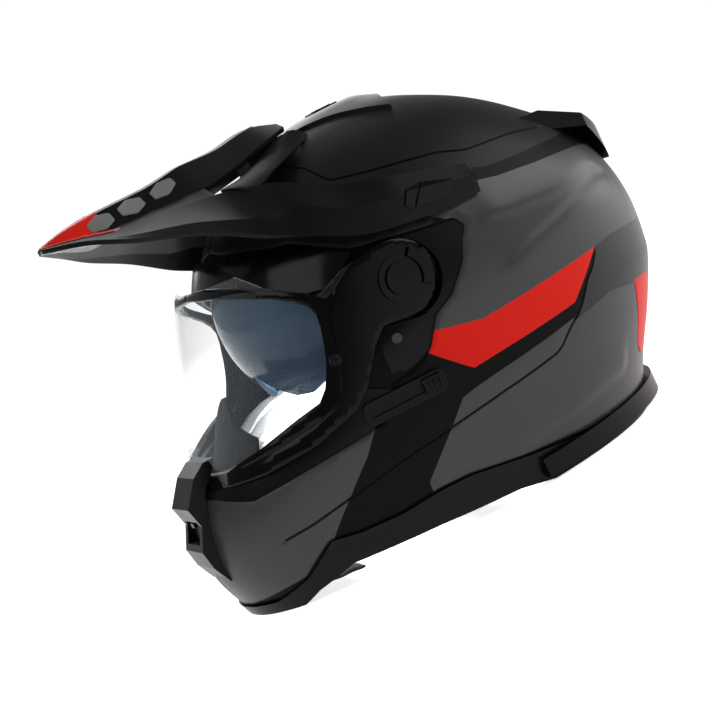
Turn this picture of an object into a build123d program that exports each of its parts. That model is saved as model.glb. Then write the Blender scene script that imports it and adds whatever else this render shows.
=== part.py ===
from build123d import *

import functools
import math
import os

# Dual sport helmet, standing on its rim. +Z is up, -Y is the front and +X the wearer's left.
# The origin is on the table, under the middle of the helmet's box. Millimetres.

# Driving dimensions of the outer shell
SHELL_HEIGHT = 264.0
SHELL_HALF_WIDTH = 125.0
SHELL_FRONT = 178.0
SHELL_REAR = 183.0
SHELL_WALL = 4.0
CLEARANCE = 0.3
OVERRUN = 10.0
REACH = 260.0
FRONT_FULLNESS = 2.1
REAR_FULLNESS = 2.4
SLICE_POINTS = 18
STAGGER_SHARE = 0.2

# Liner layers, as depths under the shell's outer surface
FOAM_DEPTH = 42.0
COMFORT_THICKNESS = 7.0
CHIN_FOAM_DEPTH = 27.0
CHEEK_FOAM_DEPTH = 26.0
CHEEK_PAD_DEPTH = 50.0
NECK_ROLL_DEPTH = 38.0
NECK_ROLL_BOTTOM = 9.0
NECK_ROLL_HEIGHT = 22.0
NECK_ROLL_START = 32.0
CURTAIN_THICKNESS = 2.5
CURTAIN_DEPTH = 46.0
CURTAIN_BOTTOM = 6.0
CURTAIN_REAR = -108.0

# Visor and its pivots
VISOR_AXIS_Y = -24.0
VISOR_AXIS_Z = 157.0
VISOR_HALF_WIDTH = 119.4
VISOR_THICKNESS = 2.2
VISOR_WIDEST_Y = -15.0
VISOR_FULLNESS = 2.3
VISOR_EAR_RADIUS = 24.0
VISOR_RANGE = 45.0
PIVOT_HOLE_RADIUS = 6.4
PIVOT_BOSS_RADIUS = 6.0
PIVOT_CAP_RADIUS = 10.0
PIVOT_CAP_THICKNESS = 1.6
PIVOT_PLATE_RADIUS = 10
PIVOT_PLATE_THICKNESS = 1.0
POCKET_FLOOR = 115.3
PIN_RADIUS = 3.2
PIN_LENGTH = 3.0
VISOR_TAB_WIDTH = 22.0

# Inner sun visor, a part of a surface of revolution about its own axis
SUN_AXIS_Y = -14.0
SUN_AXIS_Z = 160.0
SUN_RADIUS = 87.0
SUN_HALF_SPAN = 106.0
SUN_HALF_WIDTH = 84.0
SUN_THICKNESS = 2.0
SUN_CLEARANCE = 1.5
SUN_ARM_THICKNESS = 2.0
SUN_ARM_WIDTH = 22.0
SUN_RANGE = 48.0
SLIDER_TRAVEL = 30.0

# Peak
PEAK_WALL = 3.0
PEAK_HALF_WIDTH = 126.0

# Surface pieces
TRIM_PROUD = 2.5
TRIM_DEPTH = 7.0
GASKET_PROUD = 2.4
GASKET_WIDTH = 9.0
BROW_PROUD = 6.0
CHIN_RIM_PROUD = 1.6
PANEL_PROUD = 0.8
COVER_THICKNESS = 1.6
VENT_PROUD = 3.0
DEFLECTOR_DEPTH = 12.0
DEFLECTOR_THICKNESS = 2.5

# Rim trim's lip behind the neck
LIP_HALF_WIDTH = 109.0
LIP_REAR = 150.0
LIP_MIDDLE_Y = 12.0
LIP_LOW = 4.0
LIP_HEIGHT = 12.0

# Vent holes through the shell: sizes and places
TOP_VENT_HOLE = (8.0, 24.0)
TOP_VENT_HOLE_X = 14.0
TOP_VENT_HOLE_Y = 28.0
REAR_VENT_HOLE = (16.0, 9.0)
REAR_VENT_HOLE_X = 24.0
REAR_VENT_HOLE_Z = 172.0
CHIN_VENT_HOLE = (20.0, 12.0)
CHIN_VENT_HOLE_Z = 65.0

# The sun visor's pocket in the foam
SUN_POCKET_LOW = -40.0
SUN_POCKET_HIGH = 84.0
SUN_POCKET_MARGIN = 4.0

# Visor fittings
VISOR_TAB_PROUD = 4.0
VISOR_TAB_LOW = 108.0
VISOR_TAB_HIGH = 112.0
VISOR_GAP = 0.8
VISOR_PIN_RADIUS = 3.2
VISOR_PIN_PROUD = 1.2
VISOR_PIN_Y = -80.0
VISOR_PIN_Z = 132.0
RING_INNER_RADIUS = 6.4
RING_RADIUS = 14.5
RING_START = 119.7
RING_THICKNESS = 0.8
LEVER_RADIUS = 19.5
LEVER_THICKNESS = 2.9
LEVER_LOW = -35.0
LEVER_HIGH = 50.0
PIVOT_CAP_START = 120.8
PIVOT_RECESS_RADIUS = 25.0
PANEL_START = 115.8
PANEL_INSET = 0.4
COVER_GAP = 1.0
SIDE_SCREW_RADIUS = 3.0
SIDE_SCREW_PROUD = 3.4
SIDE_SCREW_Y = -43.0
SIDE_SCREW_Z = 127.0

# Sun visor fittings
SUN_PIN_RADIUS = 4.0
SUN_PIN_HOLE_RADIUS = 4.3
SUN_PIN_END = 100.0
SUN_HEAD_RADIUS = 6.5
SUN_HEAD_START = 79.0
TRACK_LENGTH = 54.0
TRACK_HEIGHT = 14.0
TRACK_PROUD = 5.0
TRACK_SLOT_WIDTH = 5.0
TRACK_SLOT_DEPTH = 2.0
TRACK_Z = 93.0
TRACK_REAR_X = 118.0
TRACK_REAR_Y = -30.0
TRACK_FRONT_X = 107.0
TRACK_FRONT_Y = -74.0
BUTTON_LENGTH = 12.0
BUTTON_HEIGHT = 10.0
BUTTON_THICKNESS = 3.2
BUTTON_STEM = 4.4
BUTTON_START = 3.0
RIDGE_PITCH = 3.0
RIDGE_WIDTH = 1.2
RIDGE_DEPTH = 0.8

# Peak fittings
PAD_HALF_WIDTH = 14.0
PAD_FRONT = -41.0
PAD_REAR = -16.0
PAD_BOTTOM = 235.0
PEAK_SCREW_Y = -28.0
PEAK_SCREW_SEAT = 275.2
PEAK_SCREW_HEAD = 2.4
PEAK_SCREW_LENGTH = 8.0
MOUNT_INNER = 100.0
ARM_COVER_PROUD = 1.3
LATCH_LIFT = 0.3
LATCH_PROUD = 1.4
INSERT_RADIUS = 8.5
INSERT_PROUD = 0.8
INSERT_PLACES = ((19.0, -147.0), (19.0, -125.0), (21.0, -102.0))

# Vents, spoiler and grilles
VENT_SLOT_HALF_WIDTH = 8.9
VENT_SLOT_FRONT = 13.0
VENT_SLOT_REAR = 44.0
VENT_SLOT_FLOOR = 265.4
TOP_SLIDER_HALF_WIDTH = 8.5
TOP_SLIDER_LENGTH = 18.0
TOP_SLIDER_FRONT = 16.0
TOP_SLIDER_HEIGHT = 2.4
TOP_SLIDER_TRAVEL = 8.0
CHIN_VENT_HALF_WIDTH = 20.0
CHIN_VENT_TOP = 106.0
MOUTH_HALF_WIDTH = 14.0
MOUTH_LOW = 58.0
MOUTH_HIGH = 72.0
SHUTTER_HALF_WIDTH = 13.0
SHUTTER_LOW = 57.5
SHUTTER_HIGH = 72.5
SHUTTER_FRONT = -166.2
SHUTTER_THICKNESS = 1.2
SHUTTER_TRAVEL = 8.0
SHUTTER_TAB_HALF_WIDTH = 3.0
SHUTTER_TAB_LOW = 67.5
SHUTTER_TAB_FRONT = -177.5
SPOILER_HALF_WIDTH = 84.0
SPOILER_REACH = 100.0
SPOILER_CENTRE_Y = 112.0
SPOILER_PROUD = 1.2
GRILLE_INSET = 0.3
GRILLE_DEPTH = 1.0
GRILLE_THICKNESS = 2.0
GRILLE_SLOT = 1.4
GRILLE_PITCH = 2.8

# Retention
STRAP_WIDTH = 24.0
STRAP_THICKNESS = 2.0
STRAP_Y = -25.0
STRAP_LEFT_END = 24.5
STRAP_RIGHT_END = 40.0
ANCHOR_SIZE = 26.0
ANCHOR_INNER = 94.2
ANCHOR_LOW = 17.0
ANCHOR_HEIGHT = 11.0
BUCKLE_FRONT_X = -6.0
BUCKLE_LENGTH = 30.5
BUCKLE_WIDTH = 28.0
BUCKLE_BOTTOM = 3.4
BUCKLE_HEIGHT = 8.2
TONGUE_LENGTH = 54.0
TONGUE_WIDTH = 18.0
TONGUE_BOTTOM = 5.6
TONGUE_THICKNESS = 2.0
TONGUE_GAP = 0.4
BUCKLE_LEVER_LENGTH = 26.0
BUCKLE_LEVER_WIDTH = 22.0
BUCKLE_LEVER_THICKNESS = 1.8
BUCKLE_LEVER_LIFT = 0.4
BUCKLE_KNUCKLE_RADIUS = 1.6
BUCKLE_LUG_SIZE = 6.0
BUCKLE_PIN_RADIUS = 0.9
BUCKLE_PIN_GAP = 0.08
PULL_TAB_X = 73.4
PULL_TAB_THICKNESS = 2.0
PULL_TAB_LENGTH = 24.0
PULL_TAB_Y = -95.0
PULL_TAB_BOTTOM = 13.0
CHEEK_BOTTOM_LEFT = 40.0

# Screws
SCREW_HEAD_RADIUS = 5.0
SCREW_RADIUS = 2.4
SCREW_HEAD_HEIGHT = 2.2

# Slices of the shell: height, half width, front, rear and widest place, as shares of the shell's
# height, half width, front, rear and rear again
SLICE_SHARES = (
    (-0.038, 0.792, 0.927, 0.710, 0.000),
    (0.000, 0.800, 0.933, 0.721, 0.000),
    (0.114, 0.864, 0.994, 0.787, 0.022),
    (0.227, 0.920, 0.983, 0.891, 0.044),
    (0.326, 0.960, 0.927, 0.967, 0.060),
    (0.379, 0.976, 0.865, 0.989, 0.071),
    (0.492, 1.000, 0.764, 0.995, 0.093),
    (0.606, 0.984, 0.663, 0.956, 0.115),
    (0.720, 0.928, 0.579, 0.863, 0.137),
    (0.814, 0.816, 0.494, 0.721, 0.153),
    (0.890, 0.664, 0.388, 0.574, 0.164),
    (0.951, 0.448, 0.236, 0.410, 0.164),
    (0.985, 0.264, 0.079, 0.290, 0.164),
    (1.000, 0.096, -0.101, 0.224, 0.164),
)

# Side outlines: each point is (y, z), as shares of the shell's length and height
EYEPORT_SHARES = (
    (-0.554, 0.746), (-0.288, 0.746), (-0.233, 0.686), (-0.202, 0.636), (-0.194, 0.598),
    (-0.199, 0.545), (-0.222, 0.477), (-0.255, 0.424), (-0.302, 0.386), (-0.368, 0.371),
    (-0.416, 0.356), (-0.554, 0.356),
)
EYEPORT_ROUNDING_SHARE = 0.022
SHELL_BODY_SHARES = (
    (-0.554, 0.019), (-0.416, 0.019), (-0.388, 0.038), (-0.324, 0.072), (-0.166, 0.061),
    (0.000, 0.042), (0.097, 0.027), (0.166, 0.034), (0.291, 0.034), (0.554, 0.034), (0.554, 1.098),
    (-0.554, 1.098),
)
RIM_SHARES = (
    (-0.554, 0.000), (-0.410, 0.000), (-0.385, 0.023), (-0.324, 0.053), (-0.175, 0.042),
    (-0.019, 0.023), (0.050, 0.000), (0.327, 0.000), (0.355, 0.019), (0.554, 0.019),
)
TRIM_TOP_SHARES = (
    (0.554, 0.061), (0.277, 0.053), (0.147, 0.057), (0.022, 0.083), (-0.094, 0.114), (-0.150, 0.117),
    (-0.227, 0.110), (-0.296, 0.114), (-0.343, 0.125), (-0.396, 0.061), (-0.443, 0.030),
    (-0.554, 0.023),
)
POCKET_SHARES = (
    (-0.144, 0.689), (-0.047, 0.682), (0.061, 0.659), (0.072, 0.636), (0.039, 0.568), (-0.006, 0.511),
    (-0.044, 0.489), (-0.078, 0.424), (-0.111, 0.405), (-0.166, 0.402),
)
COVER_SHARES = (
    (-0.177, 0.413), (-0.127, 0.413), (-0.108, 0.424), (-0.083, 0.462), (-0.055, 0.492),
    (-0.055, 0.538), (-0.139, 0.538), (-0.166, 0.485),
)
FOAM_BODY_SHARES = (
    (-0.388, 0.769), (-0.288, 0.769), (-0.222, 0.708), (-0.172, 0.644), (-0.161, 0.576),
    (-0.133, 0.470), (-0.055, 0.439), (0.017, 0.394), (0.039, 0.303), (0.061, 0.133), (0.554, 0.133),
    (0.554, 1.098), (-0.388, 1.098),
)
COMFORT_SHARES = (
    (-0.249, 0.780), (-0.177, 0.705), (-0.083, 0.644), (0.055, 0.606), (0.166, 0.455), (0.211, 0.227),
    (0.554, 0.227), (0.554, 1.098), (-0.249, 1.098),
)
CHEEK_SHARES = (
    (-0.316, 0.333), (-0.288, 0.356), (-0.238, 0.383), (-0.199, 0.394), (-0.083, 0.398),
    (0.008, 0.375), (0.030, 0.303), (0.047, 0.129), (-0.166, 0.129), (-0.316, 0.136),
)
CHIN_FOAM_SHARES = (
    (-0.554, 0.076), (-0.404, 0.076), (-0.355, 0.136), (-0.324, 0.136), (-0.324, 0.326),
    (-0.554, 0.326),
)
NECK_FRONT_Y = 32.0
BROW_SHARES = (
    (-0.388, 0.758), (-0.294, 0.758), (-0.238, 0.697), (-0.208, 0.659), (-0.166, 0.648),
    (-0.116, 0.697), (-0.172, 0.758), (-0.238, 0.803), (-0.277, 0.818), (-0.388, 0.811),
)
CHIN_RIM_SHARES = (
    (-0.471, 0.348), (-0.416, 0.337), (-0.366, 0.352), (-0.299, 0.367), (-0.249, 0.402),
    (-0.216, 0.424), (-0.127, 0.356), (-0.222, 0.318), (-0.271, 0.311), (-0.418, 0.284),
    (-0.457, 0.311), (-0.476, 0.318),
)
VISOR_SHARES = (
    (-0.526, 0.758), (-0.277, 0.758), (-0.258, 0.712), (-0.211, 0.636), (-0.144, 0.674),
    (-0.066, 0.686), (-0.066, 0.504), (-0.127, 0.519), (-0.155, 0.489), (-0.194, 0.417),
    (-0.227, 0.379), (-0.305, 0.345), (-0.388, 0.330), (-0.526, 0.330),
)
VISOR_SLICE_SHARES = (
    (0.295, 0.966),
    (0.326, 0.927),
    (0.417, 0.871),
    (0.492, 0.820),
    (0.614, 0.736),
    (0.758, 0.635),
    (0.780, 0.618),
)
VISOR_CHIN_CUT_SHARES = (
    (0.000, 0.303), (0.368, 0.303), (0.272, 0.371), (0.184, 0.403), (0.000, 0.403),
)
DEFLECTOR_SHARES = (
    (0.000, 0.326), (0.368, 0.326), (0.344, 0.394), (0.176, 0.432), (0.064, 0.485), (0.024, 0.496),
    (0.000, 0.496),
)
CHIN_VENT_SHARES = (
    (-0.416, 0.394), (-0.438, 0.394), (-0.465, 0.371), (-0.499, 0.311), (-0.490, 0.261),
    (-0.510, 0.205), (-0.504, 0.159), (-0.488, 0.114), (-0.416, 0.114),
)
SPOILER_SHARES = (
    (0.288, 0.788), (0.343, 0.782), (0.416, 0.731), (0.510, 0.633), (0.510, 0.606), (0.476, 0.591),
    (0.416, 0.697), (0.288, 0.758),
)
ARM_COVER_SHARES = (
    (0.033, 0.769), (0.086, 0.742), (0.075, 0.712), (0.006, 0.723),
)
LATCH_SHARES = (
    (0.003, 0.769), (0.028, 0.769), (0.000, 0.720), (-0.011, 0.735),
)
PEAK_MOUNT_SHARES = (
    (-0.006, 0.708), (0.094, 0.697), (0.100, 0.750), (0.006, 0.777),
)
# Peak blade: y, middle height, ridge (across, height), edge (across, height)
BLADE_SHARES = (
    (-0.510, 1.011, 0.024, 1.011, 0.063, 1.008),
    (-0.457, 1.027, 0.159, 1.008, 0.341, 0.981),
    (-0.396, 1.034, 0.270, 0.989, 0.540, 0.936),
    (-0.310, 1.034, 0.302, 0.981, 0.762, 0.884),
    (-0.233, 1.044, 0.325, 0.970, 0.873, 0.818),
)
# Peak spine behind the blade: y, middle height, ridge (across, height), edge (across, height)
SPINE_SHARES = (
    (-0.235, 1.044, 0.095, 1.042, 0.333, 0.968),
    (-0.166, 1.042, 0.111, 1.038, 0.317, 0.979),
    (-0.089, 1.053, 0.119, 1.049, 0.294, 1.004),
    (-0.036, 1.034, 0.119, 1.030, 0.198, 1.015),
)
# Peak side arm: y, top (across, height), crease (across, height), low edge (across, height)
ARM_SHARES = (
    (-0.235, 0.444, 0.945, 0.778, 0.864, 0.873, 0.818),
    (-0.166, 0.730, 0.913, 0.905, 0.841, 0.944, 0.769),
    (-0.083, 0.857, 0.845, 0.968, 0.784, 0.980, 0.718),
    (0.000, 0.937, 0.811, 1.000, 0.761, 0.988, 0.697),
    (0.083, 0.944, 0.780, 1.000, 0.739, 0.980, 0.686),
    (0.127, 0.944, 0.758, 0.996, 0.727, 0.972, 0.686),
)
VENT_PLAN_SHARES = (
    (0.000, -0.025), (0.160, -0.025), (0.296, 0.044), (0.496, 0.122), (0.368, 0.133), (0.000, 0.172),
)
# Front outlines: each point is (x, z), as shares of the shell's half width and height
SUN_OUTLINE_SHARES = (
    (0.000, 0.739), (0.672, 0.720), (0.672, 0.485), (0.560, 0.458), (0.320, 0.424), (0.200, 0.428),
    (0.096, 0.462), (0.000, 0.511),
)
STRAP_SHARES = (
    (0.753, 0.102), (0.753, 0.053), (0.720, 0.036), (0.480, 0.023), (0.352, 0.021),
)

SHELL_LENGTH = SHELL_FRONT + SHELL_REAR


# Helpers. The helmet is symmetric, so they make left halves, which are mirrored when finished.
def side_points(shares):
    """Turns shares of the shell's length and height into (y, z) points."""
    return [(y * SHELL_LENGTH, z * SHELL_HEIGHT) for y, z in shares]


def front_points(shares):
    """Turns shares of the shell's half width and height into (x, z) points."""
    return [(x * SHELL_HALF_WIDTH, z * SHELL_HEIGHT) for x, z in shares]


def half_slice(half_width, front, rear, middle, front_fullness, rear_fullness):
    """Points along the left side of a rounded level slice, from its front to its rear."""
    points = []
    for step in range(SLICE_POINTS + 1):
        turn = math.pi * step / SLICE_POINTS
        ahead = math.cos(turn)
        fullness = front_fullness if ahead > 0 else rear_fullness
        length = middle - front if ahead > 0 else rear - middle
        x = half_width * abs(math.sin(turn)) ** (2 / fullness)
        y = middle - math.copysign(abs(ahead) ** (2 / fullness), ahead) * length
        points.append((x, y))
    points[0] = (0, front)
    points[-1] = (0, rear)
    return points


@functools.lru_cache(maxsize=None)
def skin(depth):
    """The left of the shell's rounded form, a little past its middle, moved inwards by depth."""
    with BuildPart() as body:
        for height, width, front, rear, widest in SLICE_SHARES:
            points = half_slice(
                width * (SHELL_HALF_WIDTH - depth),
                -front * (SHELL_FRONT - depth),
                rear * (SHELL_REAR - depth),
                widest * (SHELL_REAR - depth),
                FRONT_FULLNESS,
                REAR_FULLNESS,
            )
            first = (-points[1][0], points[1][1])
            last = (-points[-2][0], points[-2][1])
            level = height * (SHELL_HEIGHT - depth)
            if height < 0:
                level -= STAGGER_SHARE * depth
            with BuildSketch(Plane.XY.offset(level)):
                with BuildLine():
                    Spline(first, *points, last)
                    Line(last, first)
                make_face()
        loft()
    return body.part


def side_prism(shares, grow=0.0, rounding=0.0, start=0.0):
    """A side outline drawn from the middle plane, or from start, out to the left."""
    with BuildPart() as prism:
        with BuildSketch(Plane.YZ.offset(start)):
            with BuildLine():
                Polyline(*side_points(shares), close=True)
            make_face()
            if grow:
                offset(amount=grow, kind=Kind.INTERSECTION)
            if rounding:
                fillet(vertices(), rounding)
        extrude(amount=REACH)
    return prism.part


def slab(low, high, front, rear):
    """The left half of a level slab between two heights, from a front place to a rear one."""
    with BuildPart() as block:
        with BuildSketch(Plane.XY.offset(low)):
            with Locations((REACH / 2, (front + rear) / 2)):
                Rectangle(REACH, rear - front)
        extrude(amount=high - low)
    return block.part


def pocketed(depth):
    """The skin at a depth, with the visor pivot's flat pocket cut out of its side."""
    with BuildPart() as body:
        add(skin(depth))
        add(side_prism(POCKET_SHARES, start=POCKET_FLOOR - depth), mode=Mode.SUBTRACT)
    return body.part


def side_disc(radius, inner, outer, y, z):
    """A round plate square to the X axis, on the left side."""
    with BuildPart() as disc:
        with BuildSketch(Plane.YZ.offset(inner)):
            with Locations((y, z)):
                Circle(radius)
        extrude(amount=outer - inner)
    return disc.part


def layer(outer, inner, shares, grow=0.0, rounding=0.0):
    """Half of a wall between two depths under the shell's surface, kept inside a side outline."""
    with BuildPart() as wall:
        add(skin(outer))
        add(side_prism(shares, grow, rounding), mode=Mode.INTERSECT)
        add(skin(inner), mode=Mode.SUBTRACT)
    return wall.part


def save(piece, name):
    """Labels a finished piece and writes it."""
    piece.label = name
    export_step(piece, f"parts/{name}.step")


def save_pair(piece, name):
    """Writes a left piece and its mirror image."""
    save(piece, f"{name}_left")
    save(mirror(piece, about=Plane.YZ), f"{name}_right")


os.makedirs("parts", exist_ok=True)

# Outer shell: a moulded wall with the eyeport, pivot pockets and vent holes cut through it
EYEPORT_ROUNDING = EYEPORT_ROUNDING_SHARE * SHELL_LENGTH

with BuildPart() as outer_shell:
    add(pocketed(0.0))
    add(side_prism(SHELL_BODY_SHARES), mode=Mode.INTERSECT)
    add(pocketed(SHELL_WALL), mode=Mode.SUBTRACT)
    add(side_prism(EYEPORT_SHARES, rounding=EYEPORT_ROUNDING), mode=Mode.SUBTRACT)
    with BuildSketch(Plane.XY.offset(SHELL_HEIGHT / 2)):
        with Locations((TOP_VENT_HOLE_X, TOP_VENT_HOLE_Y)):
            Rectangle(*TOP_VENT_HOLE)
    extrude(amount=SHELL_HEIGHT, mode=Mode.SUBTRACT)
    with BuildSketch(Plane.XZ):
        with Locations((REAR_VENT_HOLE_X, REAR_VENT_HOLE_Z)):
            Rectangle(*REAR_VENT_HOLE)
    extrude(amount=-REACH, mode=Mode.SUBTRACT)
    with BuildSketch(Plane.XZ):
        with Locations((0, CHIN_VENT_HOLE_Z)):
            Rectangle(*CHIN_VENT_HOLE)
    extrude(amount=REACH, mode=Mode.SUBTRACT)
    mirror(about=Plane.YZ)
save(outer_shell.part, "outer_shell")


# Crown foam: energy-absorbing liner with pockets for the raised sun visor
def sun_surface(radius):
    """The solid of revolution that the sun visor's surface belongs to, at a radius."""
    half_span = SUN_HALF_SPAN * radius / SUN_RADIUS
    with BuildPart() as body:
        with BuildSketch(Plane.XY.offset(SUN_AXIS_Z)):
            with Locations((0, SUN_AXIS_Y)):
                Ellipse(half_span, radius)
                Rectangle(
                    4 * half_span, 4 * radius, align=(Align.CENTER, Align.MAX), mode=Mode.SUBTRACT
                )
                Rectangle(
                    4 * half_span, 4 * radius, align=(Align.MAX, Align.CENTER), mode=Mode.SUBTRACT
                )
        revolve(axis=Axis((0, SUN_AXIS_Y, SUN_AXIS_Z), (1, 0, 0)), revolution_arc=360)
    return body.part


def sector(low_degrees, high_degrees, radius, start, end):
    """A wedge about the sun visor's axis, between two angles above the level line ahead."""
    middle = (low_degrees + high_degrees) / 2
    rim = [
        (
            SUN_AXIS_Y - radius * math.cos(math.radians(angle)),
            SUN_AXIS_Z + radius * math.sin(math.radians(angle)),
        )
        for angle in (low_degrees, middle, high_degrees)
    ]
    with BuildPart() as wedge:
        with BuildSketch(Plane.YZ.offset(start)):
            with BuildLine():
                Polyline((SUN_AXIS_Y, SUN_AXIS_Z), *rim, close=True)
            make_face()
        extrude(amount=end - start)
    return wedge.part


with BuildPart() as sun_pocket:
    add(sector(SUN_POCKET_LOW, SUN_POCKET_HIGH, REACH, 0, SUN_HALF_WIDTH + SUN_POCKET_MARGIN))
    add(sun_surface(SUN_RADIUS - SUN_THICKNESS - SUN_CLEARANCE), mode=Mode.SUBTRACT)

SUN_ARM_X = SUN_HALF_WIDTH - SUN_ARM_THICKNESS
SUN_ARM_REACH = SUN_RADIUS * math.sqrt(1 - (SUN_ARM_X / SUN_HALF_SPAN) ** 2)

with BuildPart() as eps_crown:
    add(pocketed(SHELL_WALL + CLEARANCE))
    add(side_prism(FOAM_BODY_SHARES), mode=Mode.INTERSECT)
    add(skin(FOAM_DEPTH), mode=Mode.SUBTRACT)
    add(sun_pocket.part, mode=Mode.SUBTRACT)
    add(
        side_disc(
            SUN_ARM_REACH + SUN_POCKET_MARGIN,
            SUN_HEAD_START - CLEARANCE,
            SUN_HALF_WIDTH + SUN_POCKET_MARGIN,
            SUN_AXIS_Y,
            SUN_AXIS_Z,
        ),
        mode=Mode.SUBTRACT,
    )
    add(
        side_disc(SUN_PIN_HOLE_RADIUS, SUN_ARM_X, SUN_PIN_END + CLEARANCE, SUN_AXIS_Y, SUN_AXIS_Z),
        mode=Mode.SUBTRACT,
    )
    mirror(about=Plane.YZ)
save(eps_crown.part, "eps_crown")

# Comfort lining and neck roll: padded fabric inside the foam
with BuildPart() as comfort_lining:
    add(layer(FOAM_DEPTH + CLEARANCE, FOAM_DEPTH + COMFORT_THICKNESS, COMFORT_SHARES))
    mirror(about=Plane.YZ)
save(comfort_lining.part, "comfort_lining")

with BuildPart() as neck_roll:
    add(skin(TRIM_DEPTH + 2 * CLEARANCE))
    add(
        slab(NECK_ROLL_BOTTOM, NECK_ROLL_BOTTOM + NECK_ROLL_HEIGHT, NECK_ROLL_START, REACH),
        mode=Mode.INTERSECT,
    )
    add(skin(NECK_ROLL_DEPTH), mode=Mode.SUBTRACT)
    mirror(about=Plane.YZ)
save(neck_roll.part, "neck_roll")

# Chin foam and the curtain that closes the gap under the chin
with BuildPart() as eps_chin:
    add(layer(SHELL_WALL + CLEARANCE, CHIN_FOAM_DEPTH, CHIN_FOAM_SHARES))
    with BuildSketch(Plane.XY.offset(SHUTTER_LOW - SHUTTER_TRAVEL - CLEARANCE)):
        with Locations((0, SHUTTER_FRONT + SHUTTER_THICKNESS + CLEARANCE)):
            Rectangle(
                2 * (SHUTTER_HALF_WIDTH + CLEARANCE), OVERRUN, align=(Align.CENTER, Align.MAX)
            )
    extrude(
        amount=SHUTTER_HIGH - SHUTTER_LOW + SHUTTER_TRAVEL + 2 * CLEARANCE, mode=Mode.SUBTRACT
    )
    mirror(about=Plane.YZ)
save(eps_chin.part, "eps_chin")

with BuildPart() as chin_curtain:
    add(skin(TRIM_DEPTH + CLEARANCE))
    add(
        slab(CURTAIN_BOTTOM, CURTAIN_BOTTOM + CURTAIN_THICKNESS, -REACH, CURTAIN_REAR),
        mode=Mode.INTERSECT,
    )
    add(skin(CURTAIN_DEPTH), mode=Mode.SUBTRACT)
    mirror(about=Plane.YZ)
save(chin_curtain.part, "chin_curtain")

# Cheek foam and cheek pads, one pair on each side
save_pair(layer(SHELL_WALL + CLEARANCE, CHEEK_FOAM_DEPTH, CHEEK_SHARES), "cheek_foam")
save_pair(
    layer(CHEEK_FOAM_DEPTH + CLEARANCE, CHEEK_PAD_DEPTH, CHEEK_SHARES, grow=-CLEARANCE),
    "cheek_pad",
)

# Rim trim: a ring clipped round the shell's lower edge, flat where it stands on the table
with BuildPart() as trim_lip:
    with BuildSketch(Plane.XY.offset(LIP_LOW)):
        with Locations((0, LIP_MIDDLE_Y)):
            Ellipse(LIP_HALF_WIDTH, LIP_REAR - LIP_MIDDLE_Y)
            Rectangle(4 * REACH, 2 * REACH, align=(Align.CENTER, Align.MAX), mode=Mode.SUBTRACT)
            Rectangle(2 * REACH, 4 * REACH, align=(Align.MAX, Align.CENTER), mode=Mode.SUBTRACT)
    extrude(amount=LIP_HEIGHT)
    add(skin(0.0), mode=Mode.SUBTRACT)

with BuildPart() as rim_trim:
    add(layer(-TRIM_PROUD, TRIM_DEPTH, RIM_SHARES + TRIM_TOP_SHARES))
    add(trim_lip.part)
    add(
        layer(-CLEARANCE, SHELL_WALL + CLEARANCE, SHELL_BODY_SHARES, grow=CLEARANCE),
        mode=Mode.SUBTRACT,
    )
    mirror(about=Plane.YZ)
save(rim_trim.part, "rim_trim")

# Brow trim over the visor
with BuildPart() as brow_trim:
    add(layer(-BROW_PROUD, -CLEARANCE, BROW_SHARES))
    mirror(about=Plane.YZ)
save(brow_trim.part, "brow_trim")


# Visor: a clear shield with flat ears that turn on the shell's pivots
def visor_form(depth):
    """Half of the upright, straight-sided form that the visor is part of, inset by depth."""
    half_points = SLICE_POINTS // 2 + 1
    with BuildPart() as body:
        for height, front in VISOR_SLICE_SHARES:
            points = half_slice(
                VISOR_HALF_WIDTH - depth,
                depth - front * SHELL_FRONT,
                REACH,
                VISOR_WIDEST_Y,
                VISOR_FULLNESS,
                VISOR_FULLNESS,
            )[:half_points]
            rear = -VISOR_WIDEST_Y + depth
            with BuildSketch(Plane.XY.offset(height * SHELL_HEIGHT)):
                with BuildLine():
                    Spline(*points, tangents=((1, 0), (0, 1)))
                    Polyline(points[-1], (points[-1][0], rear), (0, rear), points[0])
                make_face()
        loft()
    return body.part


def visor_part(outer, inner, pivot_radius, grow):
    """Half of a layer over the visor's surface, inside the visor's side outline."""
    with BuildPart() as half:
        add(visor_form(outer))
        add(visor_form(inner), mode=Mode.SUBTRACT)
        with BuildSketch(Plane.YZ):
            with BuildLine():
                Polyline(*side_points(VISOR_SHARES), close=True)
            make_face()
            with Locations((VISOR_AXIS_Y, VISOR_AXIS_Z)):
                Circle(VISOR_EAR_RADIUS)
            if grow:
                offset(amount=grow, kind=Kind.INTERSECTION)
            if pivot_radius:
                with Locations((VISOR_AXIS_Y, VISOR_AXIS_Z)):
                    Circle(pivot_radius, mode=Mode.SUBTRACT)
        extrude(amount=REACH, mode=Mode.INTERSECT)
    return half.part


def front_prism(shares):
    """A front outline extruded forwards."""
    with BuildPart() as prism:
        with BuildSketch(Plane.XZ):
            with BuildLine():
                Polyline(*front_points(shares), close=True)
            make_face()
        extrude(amount=REACH)
    return prism.part


def block(low_x, high_x, front, rear, low, high):
    """A square block between two places along each direction."""
    with BuildPart() as body:
        with BuildSketch(Plane.XY.offset(low)):
            with Locations(((low_x + high_x) / 2, (front + rear) / 2)):
                Rectangle(high_x - low_x, rear - front)
        extrude(amount=high - low)
    return body.part


# Room that the closed visor needs, and the chin rim under it
with BuildPart() as visor_room:
    with BuildSketch(Plane.YZ):
        with BuildLine():
            Polyline(*side_points(VISOR_SHARES), close=True)
        make_face()
        offset(amount=VISOR_GAP, kind=Kind.INTERSECTION)
    extrude(amount=REACH)
    add(visor_form(VISOR_THICKNESS + 2 * CLEARANCE), mode=Mode.SUBTRACT)

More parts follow.
